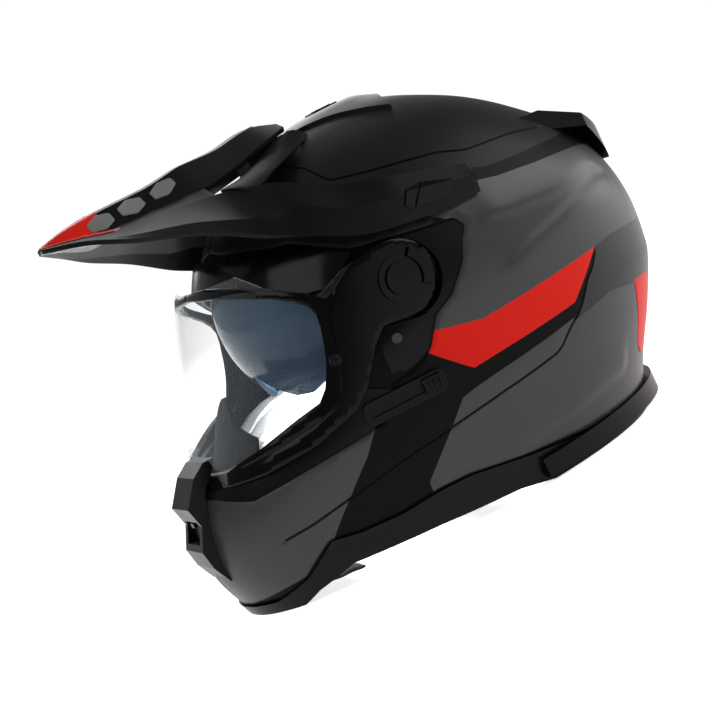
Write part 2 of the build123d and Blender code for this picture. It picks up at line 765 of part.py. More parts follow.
with BuildPart() as chin_rim:
    add(layer(-CHIN_RIM_PROUD, -CLEARANCE, CHIN_RIM_SHARES))
    add(visor_room.part, mode=Mode.SUBTRACT)
    mirror(about=Plane.YZ)
save(chin_rim.part, "chin_rim")

# Eyeport gasket: the seal that the closed visor lies against
with BuildPart() as eyeport_gasket:
    add(
        layer(
            -GASKET_PROUD,
            -CLEARANCE,
            EYEPORT_SHARES,
            GASKET_WIDTH,
            EYEPORT_ROUNDING + GASKET_WIDTH,
        )
    )
    add(visor_form(VISOR_THICKNESS + 2 * CLEARANCE), mode=Mode.INTERSECT)
    add(side_prism(EYEPORT_SHARES, CLEARANCE, EYEPORT_ROUNDING), mode=Mode.SUBTRACT)
    add(side_prism(BROW_SHARES, CLEARANCE), mode=Mode.SUBTRACT)
    add(side_prism(CHIN_RIM_SHARES, CLEARANCE), mode=Mode.SUBTRACT)
    add(
        block(0, CHIN_VENT_HALF_WIDTH + CLEARANCE, -REACH, -SHELL_FRONT / 2, 0, CHIN_VENT_TOP),
        mode=Mode.SUBTRACT,
    )
    mirror(about=Plane.YZ)
save(eyeport_gasket.part, "eyeport_gasket")

with BuildPart() as visor:
    add(visor_part(0.0, VISOR_THICKNESS, PIVOT_HOLE_RADIUS, 0.0))
    add(front_prism(VISOR_CHIN_CUT_SHARES), mode=Mode.SUBTRACT)
    mirror(about=Plane.YZ)
save(visor.part, "visor")

# Lift tab on the visor's front and the two pins that hold an anti-fog insert
with BuildPart() as visor_tab:
    add(visor_form(-VISOR_TAB_PROUD))
    add(
        block(0, VISOR_TAB_WIDTH / 2, -REACH, -SHELL_FRONT / 2, VISOR_TAB_LOW, VISOR_TAB_HIGH),
        mode=Mode.INTERSECT,
    )
    add(visor_form(0.0), mode=Mode.SUBTRACT)
    mirror(about=Plane.YZ)
save(visor_tab.part, "visor_tab")

with BuildPart() as visor_pins:
    add(side_disc(VISOR_PIN_RADIUS, 0, REACH, VISOR_PIN_Y, VISOR_PIN_Z))
    add(visor_form(-VISOR_PIN_PROUD), mode=Mode.INTERSECT)
    add(visor_form(0.0), mode=Mode.SUBTRACT)
    mirror(about=Plane.YZ)
save(visor_pins.part, "visor_pins")

# Pivots: a plate and boss in each pocket, a cap over the ear and a release lever round it
with BuildPart() as visor_base:
    add(
        side_disc(
            PIVOT_PLATE_RADIUS,
            POCKET_FLOOR,
            POCKET_FLOOR + PIVOT_PLATE_THICKNESS,
            VISOR_AXIS_Y,
            VISOR_AXIS_Z,
        )
    )
    add(side_disc(PIVOT_BOSS_RADIUS, POCKET_FLOOR, PIVOT_CAP_START, VISOR_AXIS_Y, VISOR_AXIS_Z))
save_pair(visor_base.part, "visor_base")

with BuildPart() as pivot_cap:
    add(
        side_disc(
            PIVOT_CAP_RADIUS,
            PIVOT_CAP_START,
            PIVOT_CAP_START + PIVOT_CAP_THICKNESS,
            VISOR_AXIS_Y,
            VISOR_AXIS_Z,
        )
    )
save_pair(pivot_cap.part, "pivot_cap")

with BuildPart() as visor_release:
    with BuildSketch(Plane.YZ.offset(RING_START)):
        with Locations((VISOR_AXIS_Y, VISOR_AXIS_Z)):
            Circle(RING_RADIUS)
            Circle(RING_INNER_RADIUS, mode=Mode.SUBTRACT)
    extrude(amount=RING_THICKNESS)
    with BuildSketch(Plane.YZ.offset(RING_START)):
        with BuildLine():
            Polyline(
                (VISOR_AXIS_Y, VISOR_AXIS_Z),
                *[
                    (
                        VISOR_AXIS_Y + 2 * LEVER_RADIUS * math.cos(math.radians(angle)),
                        VISOR_AXIS_Z + 2 * LEVER_RADIUS * math.sin(math.radians(angle)),
                    )
                    for angle in (LEVER_LOW, (LEVER_LOW + LEVER_HIGH) / 2, LEVER_HIGH)
                ],
                close=True,
            )
        make_face()
        with Locations((VISOR_AXIS_Y, VISOR_AXIS_Z)):
            Circle(LEVER_RADIUS, mode=Mode.INTERSECT)
            Circle(RING_RADIUS - RING_THICKNESS, mode=Mode.SUBTRACT)
    extrude(amount=LEVER_THICKNESS)
save_pair(visor_release.part, "visor_release")

# Side panel that fills the pocket behind the visor's ear, and the cover on top of it
with BuildPart() as side_panel:
    add(skin(-PANEL_PROUD))
    add(side_prism(POCKET_SHARES, -PANEL_INSET, start=PANEL_START), mode=Mode.INTERSECT)
    with BuildSketch(Plane.YZ):
        with BuildLine():
            Polyline(*side_points(VISOR_SHARES), close=True)
        make_face()
        with Locations((VISOR_AXIS_Y, VISOR_AXIS_Z)):
            Circle(VISOR_EAR_RADIUS)
        offset(amount=VISOR_GAP, kind=Kind.INTERSECTION)
    extrude(amount=REACH, mode=Mode.SUBTRACT)
save_pair(side_panel.part, "side_panel")

with BuildPart() as side_cover:
    add(skin(-COVER_GAP - COVER_THICKNESS))
    add(side_prism(COVER_SHARES, start=PANEL_START), mode=Mode.INTERSECT)
    add(skin(-PANEL_PROUD), mode=Mode.SUBTRACT)
    with BuildSketch(Plane.YZ):
        with BuildLine():
            Polyline(*side_points(VISOR_SHARES), close=True)
        make_face()
        with Locations((VISOR_AXIS_Y, VISOR_AXIS_Z)):
            Circle(VISOR_EAR_RADIUS)
        offset(amount=VISOR_GAP, kind=Kind.INTERSECTION)
    extrude(amount=REACH, mode=Mode.SUBTRACT)
save_pair(side_cover.part, "side_cover")

with BuildPart() as side_screws:
    add(skin(-SIDE_SCREW_PROUD))
    add(
        side_disc(SIDE_SCREW_RADIUS, PANEL_START, REACH, SIDE_SCREW_Y, SIDE_SCREW_Z),
        mode=Mode.INTERSECT,
    )
    add(skin(-COVER_GAP - COVER_THICKNESS), mode=Mode.SUBTRACT)
    mirror(about=Plane.YZ)
save(side_screws.part, "side_screws")

# Sun visor: a tinted sheet on two flat arms inside the shell
with BuildPart() as sun_visor:
    add(sun_surface(SUN_RADIUS))
    add(sun_surface(SUN_RADIUS - SUN_THICKNESS), mode=Mode.SUBTRACT)
    add(front_prism(SUN_OUTLINE_SHARES), mode=Mode.INTERSECT)
    with BuildSketch(Plane.YZ.offset(SUN_ARM_X)):
        with BuildLine():
            Polyline(
                (SUN_AXIS_Y, SUN_AXIS_Z + SUN_ARM_WIDTH / 2),
                (SUN_AXIS_Y - SUN_ARM_REACH + SUN_THICKNESS, SUN_AXIS_Z + SUN_ARM_WIDTH / 2),
                (SUN_AXIS_Y - SUN_ARM_REACH + SUN_THICKNESS, SUN_AXIS_Z - SUN_ARM_WIDTH / 2),
                (SUN_AXIS_Y, SUN_AXIS_Z - SUN_ARM_WIDTH / 2),
                close=True,
            )
        make_face()
        with Locations((SUN_AXIS_Y, SUN_AXIS_Z)):
            Circle(SUN_ARM_WIDTH / 2)
            Circle(SUN_PIN_HOLE_RADIUS, mode=Mode.SUBTRACT)
    extrude(amount=SUN_ARM_THICKNESS)
    mirror(about=Plane.YZ)
save(sun_visor.part, "sun_visor")

with BuildPart() as sun_bracket:
    add(side_disc(SUN_PIN_RADIUS, SUN_HEAD_START, SUN_PIN_END, SUN_AXIS_Y, SUN_AXIS_Z))
    add(
        side_disc(
            SUN_HEAD_RADIUS, SUN_HEAD_START, SUN_ARM_X - CLEARANCE, SUN_AXIS_Y, SUN_AXIS_Z
        )
    )
save_pair(sun_bracket.part, "sun_bracket")

# Slider for the sun visor, on the wearer's left only
track_run = math.hypot(TRACK_REAR_X - TRACK_FRONT_X, TRACK_REAR_Y - TRACK_FRONT_Y)
track_ahead = (
    (TRACK_FRONT_X - TRACK_REAR_X) / track_run,
    (TRACK_FRONT_Y - TRACK_REAR_Y) / track_run,
    0,
)
track_plane = Plane(
    origin=((TRACK_REAR_X + TRACK_FRONT_X) / 2, (TRACK_REAR_Y + TRACK_FRONT_Y) / 2, TRACK_Z),
    x_dir=track_ahead,
    z_dir=(-track_ahead[1], track_ahead[0], 0),
)

with BuildPart() as slider_track:
    with BuildSketch(track_plane):
        RectangleRounded(TRACK_LENGTH, TRACK_HEIGHT, TRACK_HEIGHT / 3)
    extrude(amount=TRACK_PROUD)
    with BuildSketch(track_plane):
        RectangleRounded(TRACK_LENGTH, TRACK_HEIGHT, TRACK_HEIGHT / 3)
    extrude(amount=-TRACK_PROUD)
    with BuildSketch(track_plane.offset(TRACK_PROUD - TRACK_SLOT_DEPTH)):
        RectangleRounded(TRACK_LENGTH - TRACK_SLOT_WIDTH, TRACK_SLOT_WIDTH, TRACK_SLOT_WIDTH / 3)
    extrude(amount=TRACK_PROUD, mode=Mode.SUBTRACT)
    add(skin(-CHIN_RIM_PROUD - CLEARANCE), mode=Mode.SUBTRACT)
save(slider_track.part, "slider_track")

with BuildPart() as slider_button:
    button_centre = BUTTON_START + BUTTON_LENGTH / 2 - TRACK_LENGTH / 2
    with BuildSketch(track_plane.offset(TRACK_PROUD + CLEARANCE)):
        with Locations((button_centre, 0)):
            Rectangle(BUTTON_LENGTH, BUTTON_HEIGHT)
    extrude(amount=BUTTON_THICKNESS)
    with BuildSketch(track_plane.offset(TRACK_PROUD - TRACK_SLOT_DEPTH + CLEARANCE)):
        with Locations((button_centre, 0)):
            Rectangle(BUTTON_LENGTH / 2, BUTTON_STEM)
    extrude(amount=TRACK_SLOT_DEPTH)
    with BuildSketch(track_plane.offset(TRACK_PROUD + CLEARANCE + BUTTON_THICKNESS)):
        with Locations((button_centre, 0)):
            with GridLocations(RIDGE_PITCH, 0, 3, 1):
                Rectangle(RIDGE_WIDTH, BUTTON_HEIGHT)
    extrude(amount=-RIDGE_DEPTH, mode=Mode.SUBTRACT)
save(slider_button.part, "slider_button")


# Peak: a blade, a spine over the brow and an arm down each side
def peak_points(row, drop):
    """Half of a peak section: its middle, ridge and edge, lowered by drop."""
    y, middle, ridge_x, ridge_z, edge_x, edge_z = row
    return [
        (0, middle * SHELL_HEIGHT - drop),
        (ridge_x * PEAK_HALF_WIDTH, ridge_z * SHELL_HEIGHT - drop),
        (edge_x * PEAK_HALF_WIDTH, edge_z * SHELL_HEIGHT - drop),
    ]


def peak_sheet(rows, lift=0.0):
    """Half of a folded sheet through the sections, moved up by lift."""
    with BuildPart() as sheet:
        for row in rows:
            with BuildSketch(Plane.XZ.offset(-row[0] * SHELL_LENGTH)):
                with BuildLine():
                    Polyline(
                        *peak_points(row, -lift),
                        *reversed(peak_points(row, PEAK_WALL - lift)),
                        close=True,
                    )
                make_face()
        loft(ruled=True)
    return sheet.part


def arm_points(row, inset):
    """The outer side of an arm's section: its top, crease and low edge, moved inwards."""
    y, top_x, top_z, crease_x, crease_z, low_x, low_z = row
    return [
        (top_x * PEAK_HALF_WIDTH - inset / 2, top_z * SHELL_HEIGHT - inset),
        (crease_x * PEAK_HALF_WIDTH - inset, crease_z * SHELL_HEIGHT - inset / 2),
        (low_x * PEAK_HALF_WIDTH - inset, low_z * SHELL_HEIGHT - inset / 4),
    ]


def arm_form(inset, inner):
    """The body between a side arm's rear part, moved inwards, and an upright plane nearer in."""
    with BuildPart() as form:
        for row in ARM_SHARES[2:]:
            points = arm_points(row, inset)
            with BuildSketch(Plane.XZ.offset(-row[0] * SHELL_LENGTH)):
                with BuildLine():
                    Polyline(*points, (inner, points[2][1]), (inner, points[0][1]), close=True)
                make_face()
        loft(ruled=True)
    return form.part


with BuildPart() as arm_wall:
    for row in ARM_SHARES:
        with BuildSketch(Plane.XZ.offset(-row[0] * SHELL_LENGTH)):
            with BuildLine():
                Polyline(
                    *arm_points(row, 0.0), *reversed(arm_points(row, PEAK_WALL)), close=True
                )
            make_face()
    loft(ruled=True)

half_blade = peak_sheet(BLADE_SHARES)

with BuildPart() as peak:
    add(half_blade)
    add(peak_sheet(SPINE_SHARES))
    add(arm_wall.part)
    with BuildSketch(Plane.XY.offset(PEAK_SCREW_SEAT)):
        with Locations((0, PEAK_SCREW_Y)):
            Circle(SCREW_HEAD_RADIUS + CLEARANCE)
    extrude(amount=OVERRUN, mode=Mode.SUBTRACT)
    with BuildSketch(Plane.XY.offset(PEAK_SCREW_SEAT)):
        with Locations((0, PEAK_SCREW_Y)):
            Circle(SCREW_RADIUS + CLEARANCE)
    extrude(amount=-OVERRUN, mode=Mode.SUBTRACT)
    mirror(about=Plane.YZ)
save(peak.part, "peak")

# Mounts under the peak, the centre screw, and the covers and latches on its arms
with BuildPart() as peak_mount_centre:
    for row in SPINE_SHARES:
        under = peak_points(row, PEAK_WALL)
        with BuildSketch(Plane.XZ.offset(-row[0] * SHELL_LENGTH)):
            with BuildLine():
                Polyline(*under, (under[2][0], PAD_BOTTOM), (0, PAD_BOTTOM), close=True)
            make_face()
    loft(ruled=True)
    add(
        block(0, PAD_HALF_WIDTH, PAD_FRONT, PAD_REAR, PAD_BOTTOM, SHELL_HEIGHT + SHELL_HEIGHT),
        mode=Mode.INTERSECT,
    )
    add(skin(-CLEARANCE), mode=Mode.SUBTRACT)
    with BuildSketch(Plane.XY.offset(PEAK_SCREW_SEAT - PEAK_SCREW_LENGTH)):
        with Locations((0, PEAK_SCREW_Y)):
            Circle(SCREW_RADIUS + CLEARANCE)
    extrude(amount=PEAK_SCREW_LENGTH, mode=Mode.SUBTRACT)
    mirror(about=Plane.YZ)
save(peak_mount_centre.part, "peak_mount_centre")

with BuildPart() as peak_mount:
    add(arm_form(PEAK_WALL, MOUNT_INNER))
    add(side_prism(PEAK_MOUNT_SHARES), mode=Mode.INTERSECT)
    add(skin(-CLEARANCE), mode=Mode.SUBTRACT)
save_pair(peak_mount.part, "peak_mount")

with BuildPart() as peak_screw:
    with BuildSketch(Plane.XY.offset(PEAK_SCREW_SEAT)):
        with Locations((0, PEAK_SCREW_Y)):
            Circle(SCREW_HEAD_RADIUS)
    extrude(amount=PEAK_SCREW_HEAD)
    with BuildSketch(Plane.XY.offset(PEAK_SCREW_SEAT)):
        with Locations((0, PEAK_SCREW_Y)):
            Circle(SCREW_RADIUS)
    extrude(amount=-PEAK_SCREW_LENGTH)
save(peak_screw.part, "peak_screw")

full_arm = arm_form(0.0, MOUNT_INNER)

with BuildPart() as peak_arm_cover:
    add(arm_form(-ARM_COVER_PROUD, MOUNT_INNER))
    add(side_prism(ARM_COVER_SHARES), mode=Mode.INTERSECT)
    add(full_arm, mode=Mode.SUBTRACT)
save_pair(peak_arm_cover.part, "peak_arm_cover")

with BuildPart() as peak_latch:
    add(arm_form(-LATCH_PROUD, MOUNT_INNER))
    add(side_prism(LATCH_SHARES), mode=Mode.INTERSECT)
    add(arm_form(-LATCH_LIFT, MOUNT_INNER), mode=Mode.SUBTRACT)
save_pair(peak_latch.part, "peak_latch")

# Hexagonal inserts standing out of the blade, three a side
with BuildPart() as peak_inserts:
    with BuildSketch(Plane.XY.offset(SHELL_HEIGHT - REACH / 2)):
        with Locations(*INSERT_PLACES):
            RegularPolygon(INSERT_RADIUS, 6)
    extrude(amount=REACH)
    add(peak_sheet(BLADE_SHARES, INSERT_PROUD), mode=Mode.INTERSECT)
    add(half_blade, mode=Mode.SUBTRACT)
save_pair(peak_inserts.part, "peak_inserts")

# Top vent housing and its slider
with BuildPart() as top_vent:
    add(skin(-VENT_PROUD))
    with BuildSketch(Plane.XY.offset(SHELL_HEIGHT / 2)):
        with BuildLine():
            Polyline(
                *[(x * SHELL_HALF_WIDTH, y * SHELL_LENGTH) for x, y in VENT_PLAN_SHARES],
                close=True,
            )
        make_face()
    extrude(amount=SHELL_HEIGHT, mode=Mode.INTERSECT)
    add(skin(-CLEARANCE), mode=Mode.SUBTRACT)
    add(
        block(
            0,
            VENT_SLOT_HALF_WIDTH,
            VENT_SLOT_FRONT,
            VENT_SLOT_REAR,
            VENT_SLOT_FLOOR,
            SHELL_HEIGHT + SHELL_HEIGHT,
        ),
        mode=Mode.SUBTRACT,
    )
    mirror(about=Plane.YZ)
save(top_vent.part, "top_vent")

with BuildPart() as top_vent_slider:
    add(
        block(
            -TOP_SLIDER_HALF_WIDTH,
            TOP_SLIDER_HALF_WIDTH,
            TOP_SLIDER_FRONT,
            TOP_SLIDER_FRONT + TOP_SLIDER_LENGTH,
            VENT_SLOT_FLOOR + CLEARANCE,
            VENT_SLOT_FLOOR + CLEARANCE + TOP_SLIDER_HEIGHT,
        )
    )
    with BuildSketch(Plane.XY.offset(VENT_SLOT_FLOOR + CLEARANCE + TOP_SLIDER_HEIGHT)):
        with Locations((0, TOP_SLIDER_FRONT + TOP_SLIDER_LENGTH / 2)):
            with GridLocations(0, RIDGE_PITCH, 1, 5):
                Rectangle(2 * TOP_SLIDER_HALF_WIDTH, RIDGE_WIDTH)
    extrude(amount=-RIDGE_DEPTH, mode=Mode.SUBTRACT)
save(top_vent_slider.part, "top_vent_slider")

# Chin vent and the shutter behind its mouth
with BuildPart() as chin_vent:
    with BuildSketch(Plane.YZ):
        with BuildLine():
            Polyline(*side_points(CHIN_VENT_SHARES), close=True)
        make_face()
    extrude(amount=CHIN_VENT_HALF_WIDTH)
    add(skin(-CLEARANCE), mode=Mode.SUBTRACT)
    add(layer(-CHIN_RIM_PROUD - CLEARANCE, 0.0, CHIN_RIM_SHARES, CLEARANCE), mode=Mode.SUBTRACT)
    add(
        block(0, MOUTH_HALF_WIDTH, -REACH, -SHELL_FRONT / 2, MOUTH_LOW, MOUTH_HIGH),
        mode=Mode.SUBTRACT,
    )
    mirror(about=Plane.YZ)
save(chin_vent.part, "chin_vent")

with BuildPart() as chin_shutter:
    add(
        block(
            -SHUTTER_HALF_WIDTH,
            SHUTTER_HALF_WIDTH,
            SHUTTER_FRONT,
            SHUTTER_FRONT + SHUTTER_THICKNESS,
            SHUTTER_LOW,
            SHUTTER_HIGH,
        )
    )
    add(
        block(
            -SHUTTER_TAB_HALF_WIDTH,
            SHUTTER_TAB_HALF_WIDTH,
            SHUTTER_TAB_FRONT,
            SHUTTER_FRONT,
            SHUTTER_TAB_LOW,
            SHUTTER_TAB_LOW + SHUTTER_TAB_HALF_WIDTH,
        )
    )
save(chin_shutter.part, "chin_shutter")

# Rear spoiler and exhaust grilles
with BuildPart() as rear_spoiler:
    with BuildSketch(Plane.YZ):
        with BuildLine():
            Polyline(*side_points(SPOILER_SHARES), close=True)
        make_face()
    extrude(amount=SPOILER_HALF_WIDTH)
    with BuildSketch(Plane.XY):
        with Locations((0, SPOILER_CENTRE_Y)):
            Ellipse(SPOILER_REACH, SHELL_REAR + SPOILER_PROUD - SPOILER_CENTRE_Y)
    extrude(amount=SHELL_HEIGHT, mode=Mode.INTERSECT)
    add(skin(-CLEARANCE), mode=Mode.SUBTRACT)
    mirror(about=Plane.YZ)
save(rear_spoiler.part, "rear_spoiler")

with BuildPart() as rear_grilles:
    add(skin(GRILLE_DEPTH))
    with BuildSketch(Plane.XZ):
        with Locations((REAR_VENT_HOLE_X, REAR_VENT_HOLE_Z)):
            Rectangle(REAR_VENT_HOLE[0] - GRILLE_INSET, REAR_VENT_HOLE[1] - GRILLE_INSET)
            with GridLocations(0, GRILLE_PITCH, 1, 3):
                Rectangle(REAR_VENT_HOLE[0] - 3 * GRILLE_SLOT, GRILLE_SLOT, mode=Mode.SUBTRACT)
    extrude(amount=-REACH, mode=Mode.INTERSECT)
    add(skin(GRILLE_DEPTH + GRILLE_THICKNESS), mode=Mode.SUBTRACT)
    mirror(about=Plane.YZ)
save(rear_grilles.part, "rear_grilles")

# Breath deflector between the chin foam and the visor
with BuildPart() as breath_deflector:
    add(skin(DEFLECTOR_DEPTH))
    add(front_prism(DEFLECTOR_SHARES), mode=Mode.INTERSECT)
    add(skin(DEFLECTOR_DEPTH + DEFLECTOR_THICKNESS), mode=Mode.SUBTRACT)
    mirror(about=Plane.YZ)
save(breath_deflector.part, "breath_deflector")


# Retention: straps, anchors and the buckle with its lever and ratchet tongue
def strap(end):
    """A left strap from its anchor to a place near the middle."""
    points = front_points(STRAP_SHARES)
    over = [(x - STRAP_THICKNESS, z + STRAP_THICKNESS) for x, z in points]
    level = points[-1][1]
    with BuildPart() as body:
        with BuildSketch(Plane.XZ.offset(-STRAP_Y - STRAP_WIDTH / 2)):
            with BuildLine():
                Polyline(
                    *points,
                    (end, level),
                    (end, level + STRAP_THICKNESS),
                    *reversed(over),
                    close=True,
                )
            make_face()
        extrude(amount=STRAP_WIDTH)
    return body.part


save(strap(STRAP_LEFT_END), "strap_left")
save(mirror(strap(STRAP_RIGHT_END), about=Plane.YZ), "strap_right")

with BuildPart() as strap_anchors:
    add(skin(TRIM_DEPTH + CLEARANCE))
    add(
        block(
            ANCHOR_INNER,
            REACH,
            STRAP_Y - ANCHOR_SIZE / 2,
            STRAP_Y + ANCHOR_SIZE / 2,
            ANCHOR_LOW,
            ANCHOR_LOW + ANCHOR_HEIGHT,
        ),
        mode=Mode.INTERSECT,
    )
    mirror(about=Plane.YZ)
save(strap_anchors.part, "strap_anchors")

BUCKLE_TOP = BUCKLE_BOTTOM + BUCKLE_HEIGHT
KNUCKLE_X = BUCKLE_FRONT_X + BUCKLE_LEVER_LENGTH
KNUCKLE_Z = BUCKLE_TOP + BUCKLE_LEVER_LIFT + BUCKLE_KNUCKLE_RADIUS

with BuildPart() as buckle_body:
    add(
        block(
            BUCKLE_FRONT_X,
            BUCKLE_FRONT_X + BUCKLE_LENGTH,
            STRAP_Y - BUCKLE_WIDTH / 2,
            STRAP_Y + BUCKLE_WIDTH / 2,
            BUCKLE_BOTTOM,
            BUCKLE_TOP,
        )
    )
    add(
        block(
            BUCKLE_FRONT_X - OVERRUN,
            BUCKLE_FRONT_X + TONGUE_WIDTH + TONGUE_GAP,
            STRAP_Y - TONGUE_WIDTH / 2 - TONGUE_GAP,
            STRAP_Y + TONGUE_WIDTH / 2 + TONGUE_GAP,
            TONGUE_BOTTOM - TONGUE_GAP,
            TONGUE_BOTTOM + TONGUE_THICKNESS + TONGUE_GAP,
        ),
        mode=Mode.SUBTRACT,
    )
    with BuildSketch(Plane.XZ.offset(-STRAP_Y)):
        with Locations((KNUCKLE_X, KNUCKLE_Z - BUCKLE_LUG_SIZE / 2 + BUCKLE_LUG_SIZE / 6)):
            Rectangle(BUCKLE_LUG_SIZE, BUCKLE_LUG_SIZE)
        with Locations((KNUCKLE_X, KNUCKLE_Z)):
            Circle(BUCKLE_PIN_RADIUS + BUCKLE_PIN_GAP, mode=Mode.SUBTRACT)
    extrude(amount=BUCKLE_WIDTH / 2, both=True)
    add(
        block(
            BUCKLE_FRONT_X,
            BUCKLE_FRONT_X + BUCKLE_LENGTH,
            STRAP_Y - BUCKLE_LEVER_WIDTH / 2 - TONGUE_GAP,
            STRAP_Y + BUCKLE_LEVER_WIDTH / 2 + TONGUE_GAP,
            BUCKLE_TOP,
            BUCKLE_TOP + OVERRUN,
        ),
        mode=Mode.SUBTRACT,
    )
save(buckle_body.part, "buckle_body")

with BuildPart() as buckle_lever:
    add(
        block(
            BUCKLE_FRONT_X,
            KNUCKLE_X,
            STRAP_Y - BUCKLE_LEVER_WIDTH / 2,
            STRAP_Y + BUCKLE_LEVER_WIDTH / 2,
            BUCKLE_TOP + 2 * BUCKLE_LEVER_LIFT,
            BUCKLE_TOP + 2 * BUCKLE_LEVER_LIFT + BUCKLE_LEVER_THICKNESS,
        )
    )
    with BuildSketch(Plane.XZ.offset(-STRAP_Y - BUCKLE_LEVER_WIDTH / 2)):
        with Locations((KNUCKLE_X, KNUCKLE_Z)):
            Circle(BUCKLE_KNUCKLE_RADIUS)
    extrude(amount=BUCKLE_LEVER_WIDTH)
    with BuildSketch(Plane.XZ.offset(-STRAP_Y)):
        with Locations((KNUCKLE_X, KNUCKLE_Z)):
            Circle(BUCKLE_PIN_RADIUS)
    extrude(amount=BUCKLE_WIDTH / 2, both=True)
save(buckle_lever.part, "buckle_lever")

with BuildPart() as buckle_tongue:
    add(
        block(
            -STRAP_RIGHT_END,
            BUCKLE_FRONT_X + TONGUE_WIDTH,
            STRAP_Y - TONGUE_WIDTH / 2,
            STRAP_Y + TONGUE_WIDTH / 2,
            TONGUE_BOTTOM,
            TONGUE_BOTTOM + TONGUE_THICKNESS,
        )
    )
save(buckle_tongue.part, "buckle_tongue")

# Emergency pull tabs under the cheek foams
with BuildPart() as pull_tab:
    add(
        block(
            PULL_TAB_X,
            PULL_TAB_X + PULL_TAB_THICKNESS,
            PULL_TAB_Y - PULL_TAB_LENGTH / 2,
            PULL_TAB_Y + PULL_TAB_LENGTH / 2,
            PULL_TAB_BOTTOM,
            CHEEK_BOTTOM_LEFT,
        )
    )
    add(side_prism(CHEEK_SHARES), mode=Mode.SUBTRACT)
save_pair(pull_tab.part, "pull_tab")
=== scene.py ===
"""Looks of the dual sport helmet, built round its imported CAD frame."""

import math

import bmesh
import bpy
import numpy as np
from mathutils import Matrix, Vector
from mathutils.bvhtree import BVHTree
from mathutils.geometry import delaunay_2d_cdt


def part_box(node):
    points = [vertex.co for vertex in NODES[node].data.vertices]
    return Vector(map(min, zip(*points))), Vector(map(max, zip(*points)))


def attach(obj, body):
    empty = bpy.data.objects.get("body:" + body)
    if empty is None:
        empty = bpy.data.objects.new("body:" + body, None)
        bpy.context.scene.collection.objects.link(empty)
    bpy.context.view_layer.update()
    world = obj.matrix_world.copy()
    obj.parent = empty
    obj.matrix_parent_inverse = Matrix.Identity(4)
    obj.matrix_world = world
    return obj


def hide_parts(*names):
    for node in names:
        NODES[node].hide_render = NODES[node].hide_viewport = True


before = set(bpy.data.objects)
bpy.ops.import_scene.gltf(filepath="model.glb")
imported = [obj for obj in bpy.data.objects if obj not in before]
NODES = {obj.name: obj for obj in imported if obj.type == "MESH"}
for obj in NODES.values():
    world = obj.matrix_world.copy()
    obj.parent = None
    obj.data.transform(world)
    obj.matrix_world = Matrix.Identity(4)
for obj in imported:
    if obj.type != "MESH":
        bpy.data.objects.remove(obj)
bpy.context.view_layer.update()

bl_info = {
    "name": "Dual Sport Helmet Looks",
    "version": (1, 0, 0),
    "blender": (4, 5, 0),
    "location": "View3D > Sidebar > Helmet",
    "description": "Paint, trims, visors and lining of a dual sport helmet",
    "category": "Object",
}

MM = 0.001

# Lengths are in millimetres until a mesh is made

# Surfaces

# Level slices of the shell: height, half width, y of the front, of the rear and of the widest place
SHELL_SLICES = (
    (-10, 99, -165, 130, 0),
    (0, 100, -166, 132, 0),
    (30, 108, -177, 144, 4),
    (60, 115, -175, 163, 8),
    (86, 120, -165, 177, 11),
    (100, 122, -154, 181, 13),
    (130, 125, -136, 182, 17),
    (160, 123, -118, 175, 21),
    (190, 116, -103, 158, 25),
    (215, 102, -88, 132, 28),
    (235, 83, -69, 105, 30),
    (251, 56, -42, 75, 30),
    (260, 33, -14, 53, 30),
    (264, 12, 18, 41, 30),
)
FRONT_FULLNESS = 2.1
REAR_FULLNESS = 2.4
# Flat length of a turn of one radian
TURN_LENGTH = 150.0
LEVEL_SAMPLES = 900
NORMAL_STEP = 0.004
TURN_MARGIN = 0.012
LEVEL_MARGIN = 0.01
# Nearer the front or the rear than this share of the half width, a point is placed by its x
NEAR_SHARE = 0.6
# A corner's arc takes at most this share of each side, and has points at these shares
CORNER_SHARE = 0.45
ARC_SHARES = (0.0, 0.25, 0.5, 0.75, 1.0)
# Triangles: height of a row of points and clear space round the fixed ones, as shares of the spacing
ROW_SHARE = 0.866
CLEAR_SHARE = 0.45


